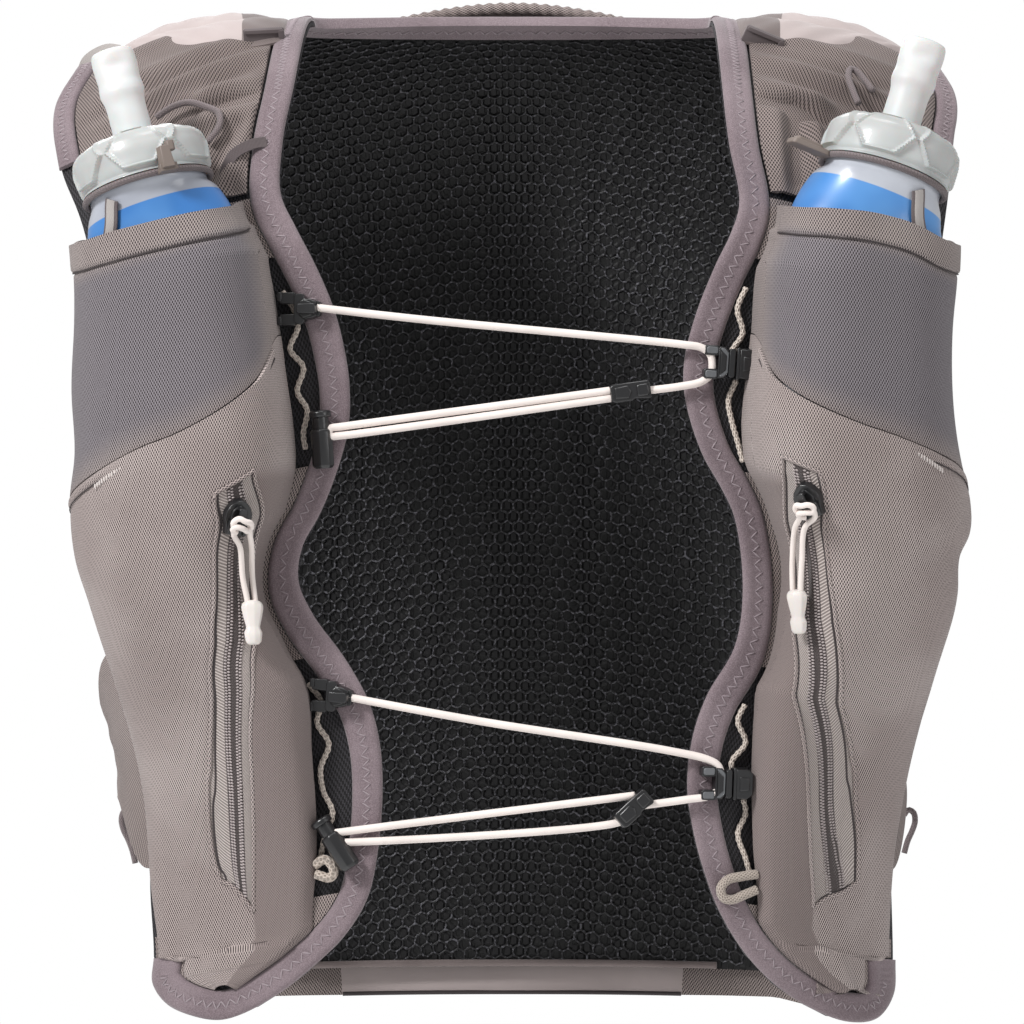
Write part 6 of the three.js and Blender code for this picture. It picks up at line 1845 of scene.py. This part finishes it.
for side in SIDES:
    origin, axes = neck_frame(side)
    cap_body = f"cap_{side}"
    angles = np.linspace(0, 360, 216, endpoint=False)
    heights = np.r_[0, np.linspace(0.01, 1.0, 60)]
    a, h = np.meshgrid(angles, heights)
    shift = 0 if side == "left" else 12
    radius = CAP_PROFILE(h) * CAP_DIAMETER / 2 + cap_relief(a + shift, h) * smoothstep(
        h, 0.0, 0.08)
    turn = np.radians(a - 90)
    ring = np.stack([radius * np.cos(turn), radius * np.sin(turn), h * CAP_HEIGHT], axis=-1)
    crown = ring[-1] * [0.85, 0.85, 1] + [0, 0, 0.5]
    throat = ring[-1] * [0.55, 0.55, 1] + [0, 0, 0.9]
    rings = np.concatenate([ring, crown[None], throat[None]])
    rings = origin + rings @ axes
    rings_object(f"Cap_{side}", rings, FROSTED, ride=cap_body, nodes=[f"flask_cap_{side}"],
                 slot="plastic_clear", sharp=40)

    rows = table([(0, 0.74), (0.2, 0.735), (0.42, 0.76), (0.5, 0.83), (0.56, 0.83),
                  (0.62, 0.8), (0.75, 0.82), (0.9, 0.82), (0.96, 0.78), (0.99, 0.7), (1, 0.6)])
    at = np.r_[np.linspace(0, 0.5, 20), np.linspace(0.505, 0.62, 14), np.linspace(0.64, 1, 34)]
    turn = np.linspace(0, 2 * math.pi, 72, endpoint=False)
    flat = 1 - 0.3 * smoothstep(at, 0.45, 1.0)
    radius = rows(at) * VALVE_DIAMETER / 2
    dimple = 1.2 * np.exp(-((at[:, None] - 0.8) / 0.09) ** 2) * np.maximum(
        0, -np.sin(turn))[None] ** 6
    rings = np.stack([radius[:, None] * np.cos(turn),
                      radius[:, None] * flat[:, None] * np.sin(turn) + dimple,
                      np.broadcast_to((at * VALVE_LENGTH)[:, None] + CAP_HEIGHT + 0.4,
                                      (len(at), len(turn)))], axis=-1)
    rings_object(f"Bite_valve_{side}", origin + rings @ axes, SILICONE, ride=cap_body,
                 nodes=[f"bite_valve_{side}"], slot="silicone", sharp=60)

# Elastic round each flask's neck, with a moulded tab

CORD_TAB = {"left": (21, 5, 8, 7), "right": (-68, 15, 3, 8)}
for side in SIDES:
    origin, axes = neck_frame(side)
    radius = NECK_RADIUS + FIT_GAP + ELASTIC_DIAMETER / 2
    turn = np.linspace(0, 2 * math.pi, 120, endpoint=False)
    angles = np.linspace(0, 2 * math.pi, 12, endpoint=False)
    out = radius + ELASTIC_DIAMETER / 2 * np.cos(angles)[None]
    rings = np.stack(np.broadcast_arrays(
        out * np.cos(turn)[:, None], out * np.sin(turn)[:, None],
        ELASTIC_DIAMETER / 2 * np.sin(angles)[None] - FIT_GAP - ELASTIC_DIAMETER / 2), axis=-1)
    ring = rings_object(f"Flask_elastic_{side}", origin + rings @ axes, TAUPE_CORD, closed=True,
                        nodes=[f"flask_cord_{side}"], slot="cord_taupe")
    degrees, length, rise, width = CORD_TAB[side]
    clear = CAP_DIAMETER / 2 + FIT_GAP
    low, w = -FIT_GAP - ELASTIC_DIAMETER, width / 2
    if side == "left":
        parts = [
            block(-w, w, -clear - 0.2, -radius, low, low + 2.2, 0.4),
            prism([(-w, -clear - 3), (w, -clear - 3), (w, -clear), (-w, -clear)], low, low + 3),
            prism([(-w + 1, -clear - 4.6), (w - 1.5, -clear - 4.6), (w, -clear - 0.6),
                   (-w, -clear - 0.6)], low + 1.0, rise - 1.2, 0.8),
            block(0.6, w + 0.6, -clear - 4.2, -clear - 0.8, rise - 3.4, rise + 0.4, 0.8),
        ]
    else:
        parts = [
            block(-w, w, -clear - length, -radius, low, low + 2.2, 1.2, 0.4),
            block(-w * 0.7, w * 0.7, -clear - length + 1.5, -clear - 1, low + 2, low + 3.6,
                  1, 0.8),
        ]
    merged(f"Elastic_tab_{side}", parts, TAB, (origin, axes), 0.4, degrees, slot="cord_taupe")

# Closure hardware

HOOK_PARTS = [
    *pair(-7.6, -1.2, 2.0, 6.4, 0, 4.2, 0.6), *pair(-8.4, -6.6, 3.0, 6.4, 0.4, 4.8, 0.4),
    block(-1.8, 2.4, -5.9, 5.9, 0, 4.8, 1.0),
    prism([(1.4, -4.6), (5.0, -4.0), (7.4, -3.0), (7.4, 3.0), (5.0, 4.0), (1.4, 4.6)], 0.2, 5.0,
          0.5),
    prism([(0.2, -2.6), (1.8, -4.0), (5.6, -2.6), (5.6, 2.6), (1.8, 4.0), (0.2, 2.6)], 4.6, 5.5,
          0.4),
    block(6.2, 8.4, -3.0, 3.0, 0.4, 4.4, 0.5),
    block(-1.0, 7.8, -2.3, 2.3, 4.0, 7.6, 0.8, 0.7),
]
BUCKLE_PARTS = [
    *pair(-0.2, 5.6, 2.6, 6.5, 0.2, 5.0, 0.5),
    prism([(5.0, -6.4), (7.6, -6.4), (9.6, -4.4), (9.6, 4.4), (7.6, 6.4), (5.0, 6.4)], 0, 5.4,
          0.4),
    prism([(5.8, -5.0), (8.2, -3.0), (8.2, 3.0), (5.8, 5.0)], 5.2, 6.3, 0.4),
    block(9.2, 11.6, -5.6, 5.6, 0, 6.4, 0.6),
    block(11.2, 14.2, -1.6, 1.6, 0.4, 3.4),
    block(12.2, 13.6, -6.2, 6.2, 0.2, 6.0, 0.4),
    prism([(13.0, -6.3), (18.0, -6.5), (20.4, -4.8), (20.4, 4.8), (18.0, 6.5), (13.0, 6.3)], 0,
          6.0, 0.8),
    prism([(14.6, -3.0), (18.8, -2.6), (18.8, 2.6), (14.6, 3.0)], 5.8, 6.5, 0.4),
]
# Tops of the buckle's prongs and middle, in paler grey as a painted highlight
BUCKLE_GLINT_FACES = [
    *pair(0.2, 5.0, 3.2, 6.0, 4.8, 5.5, 0.5, 0.3),
    prism([(5.6, -5.6), (7.4, -5.6), (9.0, -4.0), (9.0, 4.0), (7.4, 5.6), (5.6, 5.6),
           (7.4, 2.8), (7.4, -2.8)], 5.2, 6.0, 0.3),
]
TOGGLE_RADIUS, TOGGLE_NECK, TOGGLE_FLANGE, TOGGLE_LENGTH = 4.3, 3.2, 4.3, 22.5
TOGGLE_PARTS = [
    turned([(0.8 * TOGGLE_RADIUS, 0), (TOGGLE_RADIUS, 1.2), (TOGGLE_RADIUS, 0.64 * TOGGLE_LENGTH),
            (0.86 * TOGGLE_RADIUS, 0.68 * TOGGLE_LENGTH)], 8, "y"),
    turned([(TOGGLE_NECK, 0.66 * TOGGLE_LENGTH), (TOGGLE_NECK, 0.9 * TOGGLE_LENGTH)], 12, "y"),
    turned([(0.9 * TOGGLE_FLANGE, 0.88 * TOGGLE_LENGTH), (TOGGLE_FLANGE, 0.9 * TOGGLE_LENGTH),
            (TOGGLE_FLANGE, 0.97 * TOGGLE_LENGTH), (0.8 * TOGGLE_FLANGE, TOGGLE_LENGTH)], 20,
           "y"),
]
ADJUSTER_PARTS = [
    prism([(-8.2, -3.0), (-6.8, -3.7), (0.4, -3.7), (1.6, -2.9), (7.4, -3.7), (8.2, -3.0),
           (8.2, 3.0), (7.4, 3.7), (1.6, 3.7), (0.4, 3.7), (-6.8, 3.7), (-8.2, 3.0)],
          -3.0, 2.7, 0.5),
    prism([(-6.4, -2.2), (-0.8, -2.6), (0.6, 0), (-0.8, 2.6), (-6.4, 2.2)], 2.6, 3.3, 0.4),
    block(2.2, 7.2, -2.4, 2.4, 2.6, 3.4, 0.6, 0.3),
]

# Each: x, drop, turn in degrees
CLOSURES = {
    "upper": {"hook": (-81.2, 120.5, 0), "buckle": (73.4, 142.4, -4),
              "toggle": (-71.6, 184, 4), "adjuster": (45.3, 159.4, 8)},
    "lower": {"hook": (-68.6, 272.6, -4), "buckle": (71.6, 305.8, -2),
              "toggle": (-60.6, 340.5, 34), "adjuster": (46.2, 320.2, 42)},
}
# Each: parts, lift off the body, bevel
FITTINGS = {
    "hook": (HOOK_PARTS, HARDWARE_LIFT, 0.35),
    "buckle": (BUCKLE_PARTS, HARDWARE_LIFT, 0.35),
    "toggle": (TOGGLE_PARTS, HARDWARE_LIFT + TOGGLE_RADIUS, 0.3),
    "adjuster": (ADJUSTER_PARTS, 6.2, 0.35),
}

for level, places in CLOSURES.items():
    for kind, (x, drop, turn) in places.items():
        parts, lift, bevel = FITTINGS[kind]
        merged(f"{kind.capitalize()}_{level}", parts, BLACK_PLASTIC, seat_on_body(x, drop, lift),
               bevel, turn, nodes=[f"{kind}_{level}"], slot="plastic_black")
        # Painted highlight: paler faces laid over the buckle's tops
        if kind == "buckle":
            merged(f"Buckle_painted_glint_{level}", BUCKLE_GLINT_FACES, PAINTED_GLINT_PLASTIC, seat_on_body(x, drop, lift),
                   0.2, turn, slot="plastic_black")

# Trims: webbing loops, tape, tacks and seam lines

# Rows are right, up and outwards of a loop that stands off the strap
UPRIGHT = np.array([[1, 0, 0], [0, -0.45, 0.89], [0, -0.89, -0.45]])
for side, sign in SIDES.items():
    x, run, lean = (98, 46, 3) if side == "left" else (99, 49, -24)
    merged(f"Shoulder_loop_{side}", [
        block(-8.2, 8.2, -3.5, 3.5, 0, 1.7, 0.5), block(-7.8, 7.8, 1.6, 3.4, 1.5, 2.6, 0.4),
        block(6.0, 8.2, -3.0, 3.0, 1.4, 2.8, 0.5)], WEBBING,
        (on_body(sign * x, -run, 6.0), UPRIGHT), 0.3, lean, slot="cord_taupe")

crest = [on_body(-175, -12, 1.0), on_body(-172, -9, 5.0), on_body(-164, -7, 7.5),
         on_body(-159, -7, 6.0)]
ribbon("Armhole_loop_left", crest, [0.1, -0.85, 0.5], 5.0, 2.2, PALE_TAPE, slot="cord_taupe")
merged("Elastic_end_right", [
    block(-6.5, 1, -2.4, 2.4, -1.4, 1.4, 0.8, 0.4), block(0.4, 3, -1.4, 1.4, -1.0, 1.0, 0.3),
    prism([(2.4, -3.2), (6.0, -2.2), (6.0, 2.2), (2.4, 3.2)], -1.6, 1.6, 0.6),
], TAB, seat_on_body(163, 52, 7), 0.4, 14, slot="cord_taupe")

arc = [on_body(-x, -run, lift) for x, run, lift in
       [(112, 127, 4.2), (109.5, 119.5, 6.6), (106.5, 115, 7.2), (100, 112, 6.4), (95, 111, 4.4)]]
ribbon("Neck_tape_left", arc, [0, -1, 0.1], 4.2, 1.1, WEBBING, slot="cord_taupe")

# Seam from the low end of each zip to the hem, as (u, drop)
LOW_SEAM = {
    "left": [(0.503, 0.852), (0.43, 0.889), (0.3, 0.918), (0.16, 0.945)],
    "right": [(0.566, 0.845), (0.44, 0.877), (0.33, 0.9), (0.14, 0.94)],
}
for side, front in FRONTS.items():
    u, drop = np.array(LOW_SEAM[side]).T
    seam = front.on_pocket(u, front_run(drop), KNIT_WALL + 0.3)
    tube(f"Low_seam_{side}", seam, 0.9, THREAD_AND_SHADOW_DARK, slot="knit_taupe")
    fold = front.on_pocket(u + 0.03, front_run(drop + 0.004), KNIT_WALL - 0.2)
    tube(f"Low_fold_{side}", fold, 2.6, ZIP_KNIT, slot="knit_taupe")

# Bar tacks at the outer end of each slant seam, as (u, tilt)
TACK_PLACE = {"left": (0.6, 0.24), "right": (0.6, 0.3)}
for side, front in FRONTS.items():
    u, tilt = TACK_PLACE[side]
    run = float(front.slanted(u)) + 5.5
    count = 12
    step = (np.arange(count) / (count - 1) - 0.5) * 0.085
    starts = front.on_pocket(u + step, run + 0.2 + step * 60, KNIT_WALL + 0.9)
    ends = front.on_pocket(u + step + 0.004, run - 1.9 + step * 60, KNIT_WALL + 0.9)
    out = front.on_pocket(u + step, run, 3) - front.on_pocket(u + step, run, 2)
    threads(f"Bar_tack_{side}", starts, ends, out, 1.0, THREAD_TACK)

    across = shares(120) * 0.97 + 0.015
    under = front.on_pocket(across, front.mouth(across) + HEM_HEIGHT + 0.3, KNIT_WALL + 0.15)
    tube(f"Hem_line_{side}", under, 0.55, THREAD_AND_SHADOW_DARK, slot="knit_taupe")
    slant = front.on_pocket(across, front.slanted(across) + 3.9, KNIT_WALL + 0.2)
    tube(f"Slant_line_{side}", slant, 0.5, THREAD_AND_SHADOW_DARK, slot="knit_taupe")

# Bound lower edge of the back, and the seams of the pouch

x = np.linspace(-88, 88, 60)
hem = on_body(x, back_bottom(x, 0) - 1.6, 0.2)
tube("Back_hem", hem, 3.0, WOVEN_DARK, slot="mesh_black")
pouch_hem = on_body(x * 0.82, back_bottom(x * 0.82, POUCH_BELOW_MESH) - 0.4,
                    pouch_lift(x * 0.82, 1.0) + 0.4)
tube("Pouch_hem", pouch_hem, 1.8, THREAD_AND_SHADOW_DARK, slot="knit_taupe")

# Studio: pale floor, white surroundings and large soft lights

FLOOR_LEVEL = -1.35
WORLD_LIGHT = 0.42
FLOOR_SIZE = 15.5
bpy.ops.mesh.primitive_plane_add(size=FLOOR_SIZE, location=(0, 0, FLOOR_LEVEL))
floor = bpy.context.object
floor.name = "Studio_floor"
floor.data.materials.append(FLOOR)
floor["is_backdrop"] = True

world = bpy.data.worlds.new("Studio")
bpy.context.scene.world = world
world.use_nodes = True
background = world.node_tree.nodes["Background"]
background.inputs["Color"].default_value = (1, 1, 1, 1)
seen = node(world.node_tree, "ShaderNodeLightPath").outputs["Is Camera Ray"]
strength = node(world.node_tree, "ShaderNodeMapRange", {
    "Value": seen, "To Min": WORLD_LIGHT, "To Max": 1.0})
world.node_tree.links.new(strength.outputs[0], background.inputs["Strength"])
bpy.context.scene.view_settings.view_transform = "Standard"


def area_light(name, place, target, size, power):
    light = bpy.data.objects.new(name, bpy.data.lights.new(name, "AREA"))
    light.data.size, light.data.energy = size, power
    light.location = place
    way = Vector(target) - Vector(place)
    light.rotation_euler = way.to_track_quat("-Z", "Y").to_euler()
    bpy.context.collection.objects.link(light)
    light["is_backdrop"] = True


area_light("Key", (-1.4, -1.4, 1.2), (0, 0, -0.15), 0.5, 50)
area_light("Fill", (1.8, -1.5, 0.4), (0, 0, -0.2), 1.0, 9)
area_light("Back", (-0.5, 2.3, 1.2), (0, 0, -0.2), 1.2, 22)
area_light("Top", (0.1, -0.3, 1.6), (0, 0, -0.2), 0.8, 12)

# Sizes of the CAD and of the dressed vest

rows = {"cad": CAD_BOX, "dressed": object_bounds()}
